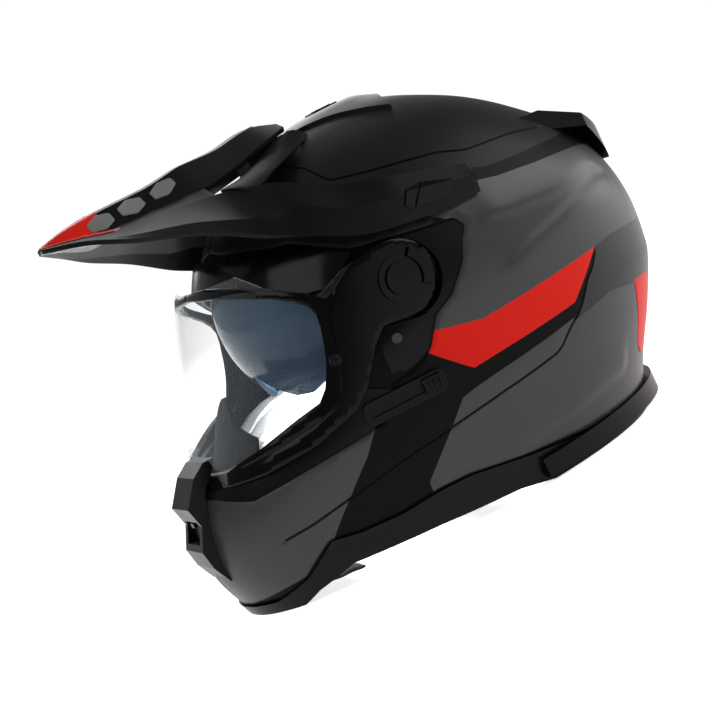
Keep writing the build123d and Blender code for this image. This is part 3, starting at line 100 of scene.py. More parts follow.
class Skin:
    """A surface through level slices: a point has a turn, from the front round to the rear, and a level."""

    def __init__(self, slices, front, rear):
        self.rows = np.array(slices, float)
        self.front = front
        self.rear = rear
        levels = np.linspace(0, len(slices) - 1, LEVEL_SAMPLES)
        values = self.slice_at(levels)
        self.levels = levels
        self.heights = values[:, 0]
        steps = np.hypot(np.diff(values[:, 0]), np.diff(values[:, 1]))
        self.arcs = np.concatenate([[0.0], np.cumsum(steps)])

    def slice_at(self, level):
        rows = self.rows
        last = len(rows) - 1
        level = np.clip(np.asarray(level, float), 0, last - 1e-6)
        low = np.floor(level).astype(int)
        part = (level - low)[:, None]
        before = np.where((low > 0)[:, None], rows[np.maximum(low - 1, 0)], 2 * rows[0] - rows[1])
        after = np.where(
            (low + 2 <= last)[:, None], rows[np.minimum(low + 2, last)], 2 * rows[last] - rows[last - 1]
        )
        here = rows[low]
        there = rows[low + 1]
        return 0.5 * (
            2 * here
            + (there - before) * part
            + (2 * before - 5 * here + 4 * there - after) * part**2
            + (3 * here - before - 3 * there + after) * part**3
        )

    def level_of(self, height):
        return np.interp(height, self.heights, self.levels)

    def points(self, turn, level):
        turn = np.asarray(turn, float)
        z, w, front, rear, middle = self.slice_at(level).T
        ahead = np.cos(turn)
        side = np.abs(np.sin(turn))
        fullness = np.where(ahead > 0, self.front, self.rear)
        reach = np.where(ahead > 0, middle - front, rear - middle)
        x = w * side ** (2 / fullness)
        y = middle - np.sign(ahead) * np.abs(ahead) ** (2 / fullness) * reach
        return np.stack([x, y, z], 1)

    def normals(self, turn, level):
        turn = np.clip(turn, TURN_MARGIN, math.pi - TURN_MARGIN)
        level = np.clip(level, LEVEL_MARGIN, len(self.rows) - 1 - 2 * LEVEL_MARGIN)
        along = self.points(turn + NORMAL_STEP, level) - self.points(turn - NORMAL_STEP, level)
        up = self.points(turn, level + NORMAL_STEP) - self.points(turn, level - NORMAL_STEP)
        out = np.cross(along, up)
        return out / np.linalg.norm(out, axis=1)[:, None]

    def place(self, point):
        """The flat place of a (y, z) or (x, y, z) point on the left half."""
        x, y, z = point if len(point) == 3 else (None, *point)
        level = float(self.level_of(z))
        _, w, front, rear, middle = self.slice_at(np.array([level]))[0]
        ahead = y < middle
        fullness = self.front if ahead else self.rear
        reach = middle - front if ahead else rear - middle
        far = min(abs(middle - y) / reach, 1.0) ** (fullness / 2)
        if x is None:
            side = math.sqrt(max(0.0, 1 - far * far))
        else:
            side = min(abs(x) / w, 1.0) ** (fullness / 2)
        if x is not None and x < NEAR_SHARE * w:
            far = math.sqrt(max(0.0, 1 - side * side))
        turn = math.atan2(side, far if ahead else -far)
        return (turn * TURN_LENGTH, float(np.interp(level, self.levels, self.arcs)))

    def spread(self, flat):
        """Turns and levels of flat places."""
        flat = np.asarray(flat, float)
        turn = np.clip(flat[:, 0] / TURN_LENGTH, 0, math.pi)
        level = np.interp(flat[:, 1], self.arcs, self.levels)
        return turn, level


SHELL = Skin(SHELL_SLICES, FRONT_FULLNESS, REAR_FULLNESS)


def dense(line, step, closed):
    """The line with points no further apart than step."""
    line = [tuple(p) for p in line]
    ends = line[1:] + (line[:1] if closed else [])
    out = []
    for start, end in zip(line, ends):
        count = max(1, int(math.ceil(math.dist(start, end) / step)))
        for i in range(count):
            share = i / count
            out.append(tuple(a + (b - a) * share for a, b in zip(start, end)))
    if not closed:
        out.append(line[-1])
    return out


def rounded(line, radius, closed):
    """The line with its corners cut to small arcs."""
    line = [np.array(p, float) for p in line]
    count = len(line)
    out = []
    for i, corner in enumerate(line):
        if not closed and i in (0, count - 1):
            out.append(tuple(corner))
            continue
        before = line[i - 1]
        after = line[(i + 1) % count]
        back = before - corner
        on = after - corner
        reach = min(radius, CORNER_SHARE * np.linalg.norm(back), CORNER_SHARE * np.linalg.norm(on))
        start = corner + back / max(np.linalg.norm(back), 1e-9) * reach
        end = corner + on / max(np.linalg.norm(on), 1e-9) * reach
        for share in ARC_SHARES:
            out.append(tuple((1 - share) ** 2 * start + 2 * share * (1 - share) * corner + share**2 * end))
    return out


def inside(points, polygon):
    """Which of the flat points lie in the polygon."""
    x = points[:, 0]
    y = points[:, 1]
    result = np.zeros(len(points), bool)
    count = len(polygon)
    for i in range(count):
        x0, y0 = polygon[i]
        x1, y1 = polygon[(i + 1) % count]
        if y0 == y1:
            continue
        crosses = (y0 > y) != (y1 > y)
        result ^= crosses & (x < (x1 - x0) * (y - y0) / (y1 - y0) + x0)
    return result


def away(points, line, closed):
    """Signed distance of the flat points from a line, positive on its left, and the share along it."""
    line = np.asarray(line, float)
    start = line
    end = np.roll(line, -1, axis=0)
    if not closed:
        start = start[:-1]
        end = end[:-1]
    best = np.full(len(points), 1e9)
    sign = np.ones(len(points))
    along = np.zeros(len(points))
    lengths = np.linalg.norm(end - start, axis=1)
    total = lengths.sum()
    done = 0.0
    for a, b, length in zip(start, end, lengths):
        if length < 1e-9:
            continue
        t = (b - a) / length
        off = points - a
        share = np.clip(off @ t, 0, length)
        gap = off - share[:, None] * t
        d = np.hypot(gap[:, 0], gap[:, 1])
        side = t[0] * off[:, 1] - t[1] * off[:, 0]
        near = d < best
        best = np.where(near, d, best)
        sign = np.where(near, np.where(side >= 0, 1.0, -1.0), sign)
        along = np.where(near, (done + share) / total, along)
        done += length
    return best * sign, along


def shifted(line, offset, closed):
    """The line moved sideways, to its left."""
    line = np.asarray(line, float)
    if closed:
        before = np.roll(line, 1, axis=0)
        after = np.roll(line, -1, axis=0)
    else:
        before = np.vstack([line[:1], line[:-1]])
        after = np.vstack([line[1:], line[-1:]])
    t = after - before
    t /= np.maximum(np.linalg.norm(t, axis=1), 1e-9)[:, None]
    return [tuple(p) for p in line + np.stack([-t[:, 1], t[:, 0]], 1) * offset]


def ease(value):
    value = np.clip(value, 0, 1)
    return value * value * (3 - 2 * value)


def triangles(domain, lines, loops, spacing):
    """Flat triangles that fill the domain, with the lines and loops as edges."""
    points = []
    edges = []

    def lay(line, closed):
        first = len(points)
        points.extend(line)
        last = len(line) if closed else len(line) - 1
        edges.extend((first + i, first + (i + 1) % len(line)) for i in range(last))

    lay(domain, True)
    for line in lines:
        lay(line, False)
    for loop in loops:
        lay(loop, True)
    fixed = np.array(points)
    low = fixed.min(0)
    high = fixed.max(0)
    grid = []
    row = 0
    y = low[1]
    while y < high[1]:
        x = low[0] + (spacing / 2 if row % 2 else 0)
        while x < high[0]:
            grid.append((x, y))
            x += spacing
        y += spacing * ROW_SHARE
        row += 1
    grid = np.array(grid)
    grid = grid[inside(grid, domain)]
    nearest = np.full(len(grid), 1e9)
    for start in range(0, len(fixed), 400):
        block = fixed[start : start + 400]
        d = np.hypot(grid[:, None, 0] - block[None, :, 0], grid[:, None, 1] - block[None, :, 1])
        nearest = np.minimum(nearest, d.min(1))
    grid = grid[nearest > CLEAR_SHARE * spacing]
    points.extend(tuple(p) for p in grid)
    verts, _, faces, *_ = delaunay_2d_cdt([Vector(p) for p in points], edges, [], 0, 1e-5)
    flat = np.array([tuple(v) for v in verts])
    faces = np.array([f for f in faces if len(f) == 3])
    middles = flat[faces].mean(1)
    kept = inside(middles, domain)
    return flat, faces[kept], middles[kept]


# Meshes

WELD = 2e-5
ON_MIDDLE = 0.05
NEVER_SHARP = 180
# Spacing of the points along a sheet's edge, as a share of its spacing, and along its lines
EDGE_SPACING_SHARE = 0.8
GROOVE_SPACING = 2.0
PAINT_SPACING = 3.0
# A groove has lines at these shares of its half width, a flat floor and faded ends
GROOVE_SHARES = (-1.0, -0.45, 0.45, 1.0)
GROOVE_FLOOR_SHARE = 0.4
GROOVE_FADE_SHARE = 0.02
EDGE_DROP = 0.5


def new_object(name, mesh, body):
    obj = bpy.data.objects.new(name, mesh)
    bpy.context.scene.collection.objects.link(obj)
    if body:
        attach(obj, body)
    return obj


def mesh_from(name, verts, faces, smooth_angle=35):
    """A mesh from points in millimetres."""
    mesh = bpy.data.meshes.new(name)
    mesh.from_pydata([tuple(np.array(v) * MM) for v in verts], [], [tuple(map(int, f)) for f in faces])
    mesh.validate()
    mesh.polygons.foreach_set("use_smooth", [True] * len(mesh.polygons))
    if smooth_angle:
        mesh.set_sharp_from_angle(angle=math.radians(smooth_angle))
    return mesh


def edit(mesh, *steps):
    """Runs the steps on the mesh, opened as a bmesh."""
    bm = bmesh.new()
    bm.from_mesh(mesh)
    for step in steps:
        step(bm)
    bm.to_mesh(mesh)
    bm.free()


def mirror(bm):
    """Adds the right half to the left one and joins them on the middle plane."""
    bmesh.ops.mirror(bm, geom=bm.verts[:] + bm.edges[:] + bm.faces[:], axis="X", merge_dist=WELD)


def weld(bm):
    bmesh.ops.remove_doubles(bm, verts=bm.verts[:], dist=WELD)


def face_out(bm):
    bmesh.ops.recalc_face_normals(bm, faces=bm.faces[:])


def face_up(bm):
    """Turns a sheet over where it faces down."""
    if sum(f.normal.z * f.calc_area() for f in bm.faces) < 0:
        bmesh.ops.reverse_faces(bm, faces=bm.faces[:])


def soften(bm):
    """Evens out the steps that a voxel remesh leaves."""
    axes = {"use_axis_x": True, "use_axis_y": True, "use_axis_z": True}
    bmesh.ops.smooth_vert(bm, verts=bm.verts[:], factor=0.5, **axes)


def finished(obj, angle=30):
    """The object with its modifiers applied."""
    graph = bpy.context.evaluated_depsgraph_get()
    mesh = bpy.data.meshes.new_from_object(obj.evaluated_get(graph))
    obj.modifiers.clear()
    obj.data = mesh
    mesh.polygons.foreach_set("use_smooth", [True] * len(mesh.polygons))
    mesh.set_sharp_from_angle(angle=math.radians(angle))
    return obj


def round_edges(obj, width, angle):
    edges = obj.modifiers.new("edges", "BEVEL")
    edges.width = width * MM
    edges.segments = 2
    edges.limit_method = "ANGLE"
    edges.angle_limit = math.radians(angle)


def thick(obj, wall, bevel, angle):
    """The sheet given a wall and small round edges."""
    solid = obj.modifiers.new("wall", "SOLIDIFY")
    solid.thickness = wall * MM
    solid.offset = -1.0
    solid.use_even_offset = True
    round_edges(obj, bevel, angle)
    return finished(obj)


def level_at(height):
    """A sheet that stands off its surface by one height."""
    return lambda flat: np.full(len(flat), height)


def sheet_on(skin, domain, paints, grooves, height, edge, skirt, spacing, closed=False, skirt_colour=0):
    """A coloured skin over a surface, left half: verts, faces and a material index for each face.
    Its edge goes down by skirt, and a closed one has a bottom."""
    domain = dense(domain, spacing * EDGE_SPACING_SHARE, True)
    lines = []
    groove_lines = []
    for line, wide, deep in grooves:
        line = dense(line, GROOVE_SPACING, False)
        groove_lines.append((line, wide, deep))
        lines.extend(shifted(line, s * wide, False) for s in GROOVE_SHARES)
    loops = [dense(polygon, PAINT_SPACING, True) for polygon, _ in paints]
    area = sum(a[0] * b[1] - b[0] * a[1] for a, b in zip(domain, domain[1:] + domain[:1]))
    inward = edge if area > 0 else -edge
    if edge:
        loops.append(shifted(domain, inward, True))
    flat, faces, middles = triangles(domain, lines, loops, spacing)
    turn, level = skin.spread(flat)
    lift = height(flat)
    for line, wide, deep in groove_lines:
        gap, along = away(flat, line, False)
        fade = ease(along / GROOVE_FADE_SHARE) * ease((1 - along) / GROOVE_FADE_SHARE)
        floor = GROOVE_FLOOR_SHARE * wide
        lift = lift - deep * (1 - ease((np.abs(gap) - floor) / (wide - floor))) * fade
    if edge:
        gap, _ = away(flat, domain, True)
        lift = lift - EDGE_DROP * (1 - ease(np.abs(gap) / edge))
    down = skin.normals(turn, level)
    points = skin.points(turn, level) + down * lift[:, None]
    points[(turn <= 1e-6) | (turn >= math.pi - 1e-6), 0] = 0.0
    colours = np.zeros(len(faces), int)
    for polygon, index in paints:
        colours[inside(middles, polygon)] = index
    points = list(points)
    faces = [tuple(f) for f in faces]
    colours = list(colours)
    lower = {}

    def below(v):
        if v not in lower:
            base = points[v] - down[v] * skirt
            if abs(points[v][0]) < ON_MIDDLE:
                base[0] = 0.0
            lower[v] = len(points)
            points.append(base)
        return lower[v]

    tops = list(faces)
    sides = dict.fromkeys(pair for f in tops for pair in zip(f, f[1:] + f[:1]))
    for a, b in sides:
        if (b, a) not in sides and not (abs(points[a][0]) < ON_MIDDLE and abs(points[b][0]) < ON_MIDDLE):
            faces.append((b, a, below(a), below(b)))
            colours.append(skirt_colour)
    if closed:
        for v in sorted({v for f in tops for v in f}):
            below(v)
        for a, b, c in tops:
            faces.append((lower[a], lower[c], lower[b]))
            colours.append(skirt_colour)
    return points, faces, colours


def whole(name, sheet, angle, *finishes):
    """A mesh of both halves from the left half's sheet, with its finishes."""
    verts, faces, colours = sheet
    mesh = mesh_from(name, verts, faces, angle)
    for finish in finishes:
        mesh.materials.append(FINISHES[finish])
    mesh.polygons.foreach_set("material_index", colours)
    edit(mesh, mirror)
    return mesh


# Materials

FINISHES = {}
GRAIN_DEPTH = 0.0002

# Name, light and dark colour, roughness and specular level
LACQUERS = {
    "shell_black": ("matte_black_lacquer", "#050505", "#030303", 0.38, 0.06),
    "crown": ("matte_graphite_crown_lacquer", "#131313", "#0f0f0f", 0.42, 0.12),
    "dark_band": ("matte_charcoal_lacquer", "#161616", "#121212", 0.38, 0.22),
    "peak_red": ("peak_tip_red_lacquer", "#c41606", "#ba1204", 0.4, 0.15),
}
# Name, light and dark colour, roughness, specular level, and the grain's scale and strength
PLASTICS = {
    "peak": ("matte_black_peak_abs", "#0a0a0a", "#070707", 0.42, 0.08, 600.0, 0.08),
    "trim": ("satin_black_trim_abs", "#060606", "#040404", 0.32, 0.1, 900.0, 0.1),
    "gloss": ("gloss_black_cover_abs", "#020202", "#010101", 0.16, 0.1, 500.0, 0.02),
    "insert": ("grey_insert_abs", "#6e6e6e", "#626262", 0.45, 0.16, 900.0, 0.12),
    # The tip's pale grey edge is a painted highlight of its lit edge
    "tip_edge": ("pale_grey_tip_edge_abs", "#b9b9b9", "#a9a9a9", 0.4, 0.16, 900.0, 0.12),
    "zinc": ("blackened_zinc_screw", "#1b1b1c", "#121213", 0.3, 0.4, 700.0, 0.05),
}
# Name, light and dark colour, and the scale of the loops
KNITS = {
    "lining": ("brushed_polyester_lining", "#e6e8ea", "#cdd1d4", 560.0),
    "lining_dark": ("perforated_mesh_lining", "#3a3c3f", "#222325", 420.0),
    "curtain": ("windproof_curtain_knit", "#141415", "#0b0b0c", 620.0),
}
# Name, light and dark colour
WEAVES = {
    "webbing": ("black_polyester_webbing", "#141416", "#08080a"),
    "red_tab": ("dark_red_nylon_webbing", "#8c0f22", "#5e0816"),
}


def linear(hex_colour):
    """Linear RGBA of an sRGB hex colour."""
    values = [int(hex_colour[i : i + 2], 16) / 255 for i in (1, 3, 5)]
    return tuple(v / 12.92 if v <= 0.04045 else ((v + 0.055) / 1.055) ** 2.4 for v in values) + (1.0,)


def feed(tree, node, inputs):
    """Fills a node's inputs with values, or with sockets to link."""
    for key, value in inputs.items():
        if isinstance(value, bpy.types.NodeSocket):
            tree.links.new(value, node.inputs[key])
        else:
            node.inputs[key].default_value = value


def add_node(tree, kind, settings=None, inputs=None):
    """One node with its settings and its inputs."""
    node = tree.nodes.new(kind)
    for key, value in (settings or {}).items():
        setattr(node, key, value)
    feed(tree, node, inputs or {})
    return node


def fresh(name, uv_map=None):
    """A new material, its tree, its surface shader and the place that its textures follow."""
    material = bpy.data.materials.new(name)
    material.use_nodes = True
    tree = material.node_tree
    shader = next(n for n in tree.nodes if n.type == "BSDF_PRINCIPLED")
    if uv_map:
        place = add_node(tree, "ShaderNodeUVMap", {"uv_map": uv_map}).outputs["UV"]
    else:
        place = add_node(tree, "ShaderNodeTexCoord").outputs["Object"]
    return material, tree, shader, place


def noise(tree, place, scale, detail):
    inputs = {"Vector": place, "Scale": scale, "Detail": detail}
    return add_node(tree, "ShaderNodeTexNoise", None, inputs).outputs["Fac"]


def wave(tree, place, direction, scale, distortion=0.0):
    inputs = {"Vector": place, "Scale": scale, "Distortion": distortion}
    return add_node(tree, "ShaderNodeTexWave", {"bands_direction": direction}, inputs).outputs["Fac"]


def product(tree, one, other):
    return add_node(tree, "ShaderNodeMath", {"operation": "MULTIPLY"}, {0: one, 1: other}).outputs["Value"]


def ramp(tree, value, dark, light, low=0.0, high=1.0):
    """A colour that goes from dark to light as the value goes from low to high."""
    node = add_node(tree, "ShaderNodeValToRGB", None, {"Fac": value})
    for element, position, colour in zip(node.color_ramp.elements, (low, high), (dark, light)):
        element.position = position
        element.color = linear(colour)
    return node.outputs["Color"]


def mapped(tree, value, to_low, to_high, low=0.0, high=1.0):
    """A value that goes from to_low to to_high as the given one goes from low to high."""
    inputs = {"Value": value, "From Min": low, "From Max": high, "To Min": to_low, "To Max": to_high}
    return add_node(tree, "ShaderNodeMapRange", None, inputs).outputs["Result"]


def bump(tree, height, strength, distance):
    inputs = {"Height": height, "Strength": strength, "Distance": distance}
    return add_node(tree, "ShaderNodeBump", None, inputs).outputs["Normal"]


def varied(tree, place, light, dark, scale, rough, spread):
    """Slow colour and gloss variation from one noise, as the shader's inputs."""
    cloud = noise(tree, place, scale, 3.0)
    return {
        "Base Color": ramp(tree, cloud, dark, light, 0.35, 0.65),
        "Roughness": mapped(tree, cloud, rough - spread, rough + spread, 0.3, 0.7),
    }


def grained(name, light, dark, rough, level, cloud, spread, grain, strength, ior):
    """An opaque finish with slow variation and a fine grain."""
    material, tree, shader, place = fresh(name)
    feed(tree, shader, varied(tree, place, light, dark, cloud, rough, spread))
    normal = bump(tree, noise(tree, place, grain, 2.0), strength, GRAIN_DEPTH)
    feed(tree, shader, {"Normal": normal, "IOR": ior, "Specular IOR Level": level})
    return material


def matte_lacquer(name, light, dark, rough, level):
    """Sprayed matte lacquer on a moulded shell: soft broad highlights and a fine orange peel."""
    return grained(name, light, dark, rough, level, 9.0, 0.025, 700.0, 0.05, 1.5)


def moulded_plastic(name, light, dark, rough, level, grain, strength):
    """Injection-moulded ABS with a fine spark-eroded grain."""
    return grained(name, light, dark, rough, level, 22.0, 0.04, grain, strength, 1.53)


def eps_foam():
    """Expanded polystyrene, which shows its moulded beads, about 3 mm across."""
    material, tree, shader, place = fresh("moulded_eps_foam")
    inputs = {"Vector": place, "Scale": 330.0}
    cells = add_node(tree, "ShaderNodeTexVoronoi", {"feature": "DISTANCE_TO_EDGE"}, inputs)
    beads = cells.outputs["Distance"]
    colour = ramp(tree, beads, "#a8adb2", "#e3e6e8", 0.0, 0.12)
    feed(tree, shader, {"Base Color": colour, "Normal": bump(tree, beads, 0.35, 0.0006), "Roughness": 0.75})
    return material


def clear_polycarbonate():
    """Hard-coated polycarbonate, nearly colourless; towards its edges a pale colour fades in, a painted sheen
    in place of the gloss that shows there.
    """
    material, tree, shader, place = fresh("clear_polycarbonate")
    wear = mapped(tree, noise(tree, place, 14.0, 2.0), 0.03, 0.09, 0.3, 0.7)
    facing = add_node(tree, "ShaderNodeLayerWeight", None, {"Blend": 0.16}).outputs["Facing"]
    # The pale base colour grows more opaque at glancing angles: a painted sheen in place of reflection
    painted_sheen_alpha = mapped(tree, facing, 0.01, 0.35)
    feed(tree, shader, {"Base Color": linear("#aeb6bc"), "Roughness": wear, "Alpha": painted_sheen_alpha})
    feed(tree, shader, {"IOR": 1.585, "Specular IOR Level": 0.12})
    return material


def smoke_polycarbonate():
    material, tree, shader, place = fresh("blue_smoke_polycarbonate")
    feed(tree, shader, varied(tree, place, "#2a4155", "#213444", 12.0, 0.09, 0.02))
    feed(tree, shader, {"Alpha": 0.97, "IOR": 1.585, "Specular IOR Level": 0.06})
    return material


def brushed_steel():
    material, tree, shader, place = fresh("brushed_stainless_steel")
    stretch = add_node(tree, "ShaderNodeMapping", None, {"Vector": place, "Scale": (40.0, 1.0, 40.0)})
    brush = noise(tree, stretch.outputs["Vector"], 60.0, 4.0)
    colour = ramp(tree, brush, "#8f9092", "#c4c5c7")
    feed(tree, shader, {"Base Color": colour, "Roughness": mapped(tree, brush, 0.22, 0.42), "Metallic": 1.0})
    return material


def fabric(tree, shader, height, colour, strength, distance, rough, sheen):
    normal = bump(tree, height, strength, distance)
    feed(tree, shader, {"Base Color": colour, "Normal": normal, "Roughness": rough, "Sheen Weight": sheen})


def knit(name, light, dark, scale):
    """A brushed knit: crossing waves as loops, with sheen."""
    material, tree, shader, place = fresh(name)
    cross = product(tree, wave(tree, place, "X", scale / 2, 0.6), wave(tree, place, "Z", scale / 2, 0.6))
    fabric(tree, shader, cross, ramp(tree, cross, dark, light, 0.0, 0.7), 0.4, 0.0005, 0.85, 0.35)
    return material


def webbing(name, light, dark):
    """Woven narrow webbing: ribs along the UV's length and fine picks across it."""
    material, tree, shader, place = fresh(name, "Weave")
    cross = product(tree, wave(tree, place, "X", 3.0), wave(tree, place, "Y", 4.5))
    fabric(tree, shader, cross, ramp(tree, cross, dark, light), 0.5, 0.0004, 0.7, 0.2)
    return material


def make_materials(paint):
    """Every finish of the helmet, by name."""
    lacquers = dict(LACQUERS)
    lacquers["grey"] = ("matte_gunmetal_lacquer", paint.grey_light, paint.grey_dark, 0.36, 0.3)
    lacquers["red"] = ("matte_signal_red_lacquer", paint.red, paint.red, 0.42, 0.1)
    families = ((matte_lacquer, lacquers), (moulded_plastic, PLASTICS), (knit, KNITS), (webbing, WEAVES))
    for make, table in families:
        for key, values in table.items():
            FINISHES[key] = make(*values)
    FINISHES["rubber"] = grained(
        "black_epdm_rubber", "#070707", "#040404", 0.55, 0.15, 30.0, 0.06, 1300.0, 0.2, 1.5
    )
    FINISHES["foam"] = eps_foam()
    FINISHES["clear"] = clear_polycarbonate()
    FINISHES["smoke"] = smoke_polycarbonate()
    FINISHES["steel"] = brushed_steel()


# Finishes of the CAD nodes that stay: by name, or else by how the name starts
NODE_FINISHES = {
    "outer_shell": "shell_black",
    "peak": "peak",
    "chin_curtain": "curtain",
    "visor": "clear",
    "visor_tab": "clear",
    "visor_pins": "clear",
    "sun_visor": "smoke",
    "strap_anchors": "steel",
    "buckle_tongue": "steel",
}
FAMILY_FINISHES = {
    "rubber": ("eyeport_gasket", "breath_deflector"),
    "foam": ("eps_", "cheek_foam"),
    "lining": ("comfort_lining", "cheek_pad", "neck_roll"),
    "zinc": ("peak_screw", "side_screws"),
    "webbing": ("strap_",),
    "red_tab": ("pull_tab",),
    "insert": ("peak_insert",),
    "gloss": ("peak_arm_cover", "peak_latch", "pivot_cap", "side_cover", "brow_trim", "visor_release"),
    "trim": ("",),
}


def dress_nodes():
    """Gives every CAD node its finish."""
    for node, obj in NODES.items():
        family = next(finish for finish, starts in FAMILY_FINISHES.items() if node.startswith(starts))
        dress(obj, NODE_FINISHES.get(node, family))


def dress(obj, finish):
    if not obj.material_slots:
        obj.data.materials.append(FINISHES[finish])
    for slot in obj.material_slots:
        slot.material = FINISHES[finish]


# Painted skin of the shell

# Outlines on the left side as (y, z), or (x, y, z) near the front and the rear
SKIN_EDGE = (
    (0, -170, 7.5), (13, -168, 8.5), (62, -143, 17.5), (79, -124, 33.5), (-107, 31), (-82, 30.5), (-54, 32.5),
    (-34, 31.5), (8, 23.5), (53, 16.5), (100, 16), (0, 140, 16), (0, 40, 263), (0, 18, 263), (0, -86, 217),
    (-62, 203), (-40, 186), (-17, 181.5), (23, 175), (27, 168), (15, 149.5), (-1, 134.5), (-15, 128.5),
    (-27, 111.5), (-39.5, 106.2), (-58, 103), (-46, 93), (-80, 83), (-98, 81), (58, -149, 74), (40, -160, 79),
    (23, -165, 83), (0, -168, 84),
)
UPPER_ZONE = (
    (52, 195), (60, 192), (79, 190), (118, 187), (0, 160, 186), (0, 60, 266), (0, -90, 266), (0, -92, 210),
    (-62, 196), (-35, 180), (8, 176), (20, 185), (46, 190),
)
GREY_UPPER = (
    (46, 188), (63, 184), (93, 180), (136, 175), (0, 172, 165), (0, 172, 113), (157, 115), (123, 118),
    (104, 117), (11, 113), (-22, 121), (-15, 130), (-1, 136), (14, 151), (26, 168), (25, 172), (10, 182),
    (30, 192),
)
DARK_BAND = (
    (104, 117), (123, 118), (157, 115), (0, 172, 113), (0, 176, 74), (133, 80), (103, 87), (80, 84), (69, 83),
    (74, 86), (89, 102), (97, 107),
)
GREY_STRIP = ((-21, 76), (-12, 78), (69, 85), (64, 81), (53, 73), (48, 71), (6, 67), (-35, 62))
GREY_LOWER = (
    (-35, 62), (6, 67), (48, 71), (53, 73), (64, 81), (69, 83), (80, 84), (103, 87), (133, 80), (0, 176, 74),
    (0, 140, 10), (60, 10), (0, 20), (-46, 28), (-59, 28), (-59, 39),
)
CHIN_GREY = (
    (-74, 86), (-86, 71), (-104, 53), (-124, 30), (-150, 5), (0, -170, 4), (0, -168, 86), (23, -165, 86),
    (58, -149, 77), (-98, 85),
)
RED_STRIPE = ((-28, 112), (-22, 121), (11, 113), (104, 117), (73, 93), (-7, 89), (-29, 110))
REAR_WEDGE = ((129, 83), (0, 178, 77), (0, 150, 37), (120, 37), (117, 43), (125, 63))
SKIN_FINISHES = ("shell_black", "crown", "grey", "dark_band", "red")
SKIN_PAINTS = (
    (UPPER_ZONE, "crown"),
    (GREY_UPPER, "grey"),
    (DARK_BAND, "dark_band"),
    (GREY_STRIP, "grey"),
    (GREY_LOWER, "grey"),
    (CHIN_GREY, "grey"),
    (RED_STRIPE, "red"),
    (REAR_WEDGE, "red"),
)

# Parting lines: the line, its half width and its depth
UPPER_LINE = (
    (38, -31, 248), (62, -26, 239), (83, -23, 226), (1, 220), (18, 217), (38, 213), (56, 206), (74, 204),
    (92, 202), (120, 196),
)
GAP_LINE = (
    (104, 117), (97, 107), (89, 102), (74, 86), (64, 81), (53, 73), (48, 71), (6, 67), (-34, 63), (-70, 59),
    (-106, 52), (-128, 47), (64, -147, 44),
)
WEDGE_LINE = ((129, 82), (125, 63), (117, 43), (120, 37))
SKIN_GROOVES = ((UPPER_LINE, 0.9, 1.1), (GAP_LINE, 0.9, 1.1), (WEDGE_LINE, 0.8, 0.9))

# Soft ridges pressed into the side: line, height, run below it and run above it
CREASES = (
    (((31, 170), (59, 163), (92, 160), (133, 163), (151, 152)), 1.6, 6.0, 26.0),
    (((28, 127), (64, 138), (102, 145), (151, 149)), 1.2, 22.0, 8.0),
    (((-8, 36), (15, 34), (46, 35), (70, 38), (103, 40)), 1.4, 7.0, 22.0),
    (((-20, 76), (13, 77), (33, 78), (60, 82)), 0.8, 14.0, 5.0),
)
CREASE_FADE = 0.12
SKIN_PROUD = 0.7
SKIN_SPACING = 3.4
SKIN_EDGE_WIDE = 0.8
SKIN_SKIRT = 1.6
SKIN_CORNER = 2.0
SKIN_LINE_CORNER = 4.0
SKIN_SHARP = 40


def flat_line(points):
    return [SHELL.place(p) for p in points]


def skin_height(flat):
    """How far the painted skin stands off the moulded shell."""
    lift = np.full(len(flat), SKIN_PROUD)
    for line, high, below, above in CREASES:
        gap, along = away(flat, flat_line(line), False)
        fade = ease(along / CREASE_FADE) * ease((1 - along) / CREASE_FADE)
        slope = np.where(gap >= 0, 1 - ease(gap / above), 1 - ease(-gap / below))
        lift = lift + high * slope * fade
    return lift


def build_shell_skin():
    domain = rounded(flat_line(SKIN_EDGE), SKIN_CORNER, True)
    paints = [(flat_line(outline), SKIN_FINISHES.index(finish)) for outline, finish in SKIN_PAINTS]
    grooves = [
        (rounded(flat_line(line), SKIN_LINE_CORNER, False), wide, deep) for line, wide, deep in SKIN_GROOVES
    ]
    sheet = sheet_on(SHELL, domain, paints, grooves, skin_height, SKIN_EDGE_WIDE, SKIN_SKIRT, SKIN_SPACING)
    new_object("shell_skin", whole("shell_skin", sheet, SKIN_SHARP, *SKIN_FINISHES), "shell")


# Peak

TIP_Y = -184
BLADE_END_Y = -84
SPINE_END_Y = -13
ARM_END_Y = 46
# Rows along the peak: y, then x and z of the points across its left half
BLADE_ROWS = (
    (TIP_Y, (0, 267), (1.5, 266.9), (3, 266.8), (4, 266.6), (7, 266.2), (8, 266)),
    (-165, (0, 271), (8, 270.2), (17, 263.4), (24, 262.2), (38, 259.6), (43, 259)),
    (-143, (0, 273), (10, 271.6), (26, 258.6), (38, 256.4), (61, 250.2), (68, 247)),
    (-112, (0, 273), (11, 271.8), (29, 257.4), (46, 253.6), (85, 240.4), (96, 233.5)),
    (BLADE_END_Y, (0, 275.5), (12, 275), (42, 255.5), (56, 249.5), (98, 228), (110, 216)),
)
SPINE_ROWS = (
    (-112, (0, 273), (11, 271.8), (29, 257.4)),
    (BLADE_END_Y, (0, 275.5), (12, 275), (42, 255.5)),
    (-60, (0, 275), (14, 274), (40, 258.5)),
    (-32, (0, 278), (15, 277), (37, 265)),
    (SPINE_END_Y, (0, 273), (15, 272), (25, 268)),
)
ARM_ROWS = (
    (-112, (46, 253.6), (85, 240.4), (96, 233.5)),
    (BLADE_END_Y, (56, 249.5), (98, 228), (110, 216)),
    (-60, (92, 241), (114, 222), (119, 203)),
    (-30, (108, 223), (122, 207), (123.5, 189.5)),
    (0, (118, 214), (126, 201), (124.5, 184)),
    (30, (119, 206), (126, 195), (123.5, 181)),
    (ARM_END_Y, (119, 200), (125.5, 192), (122.5, 181)),
)
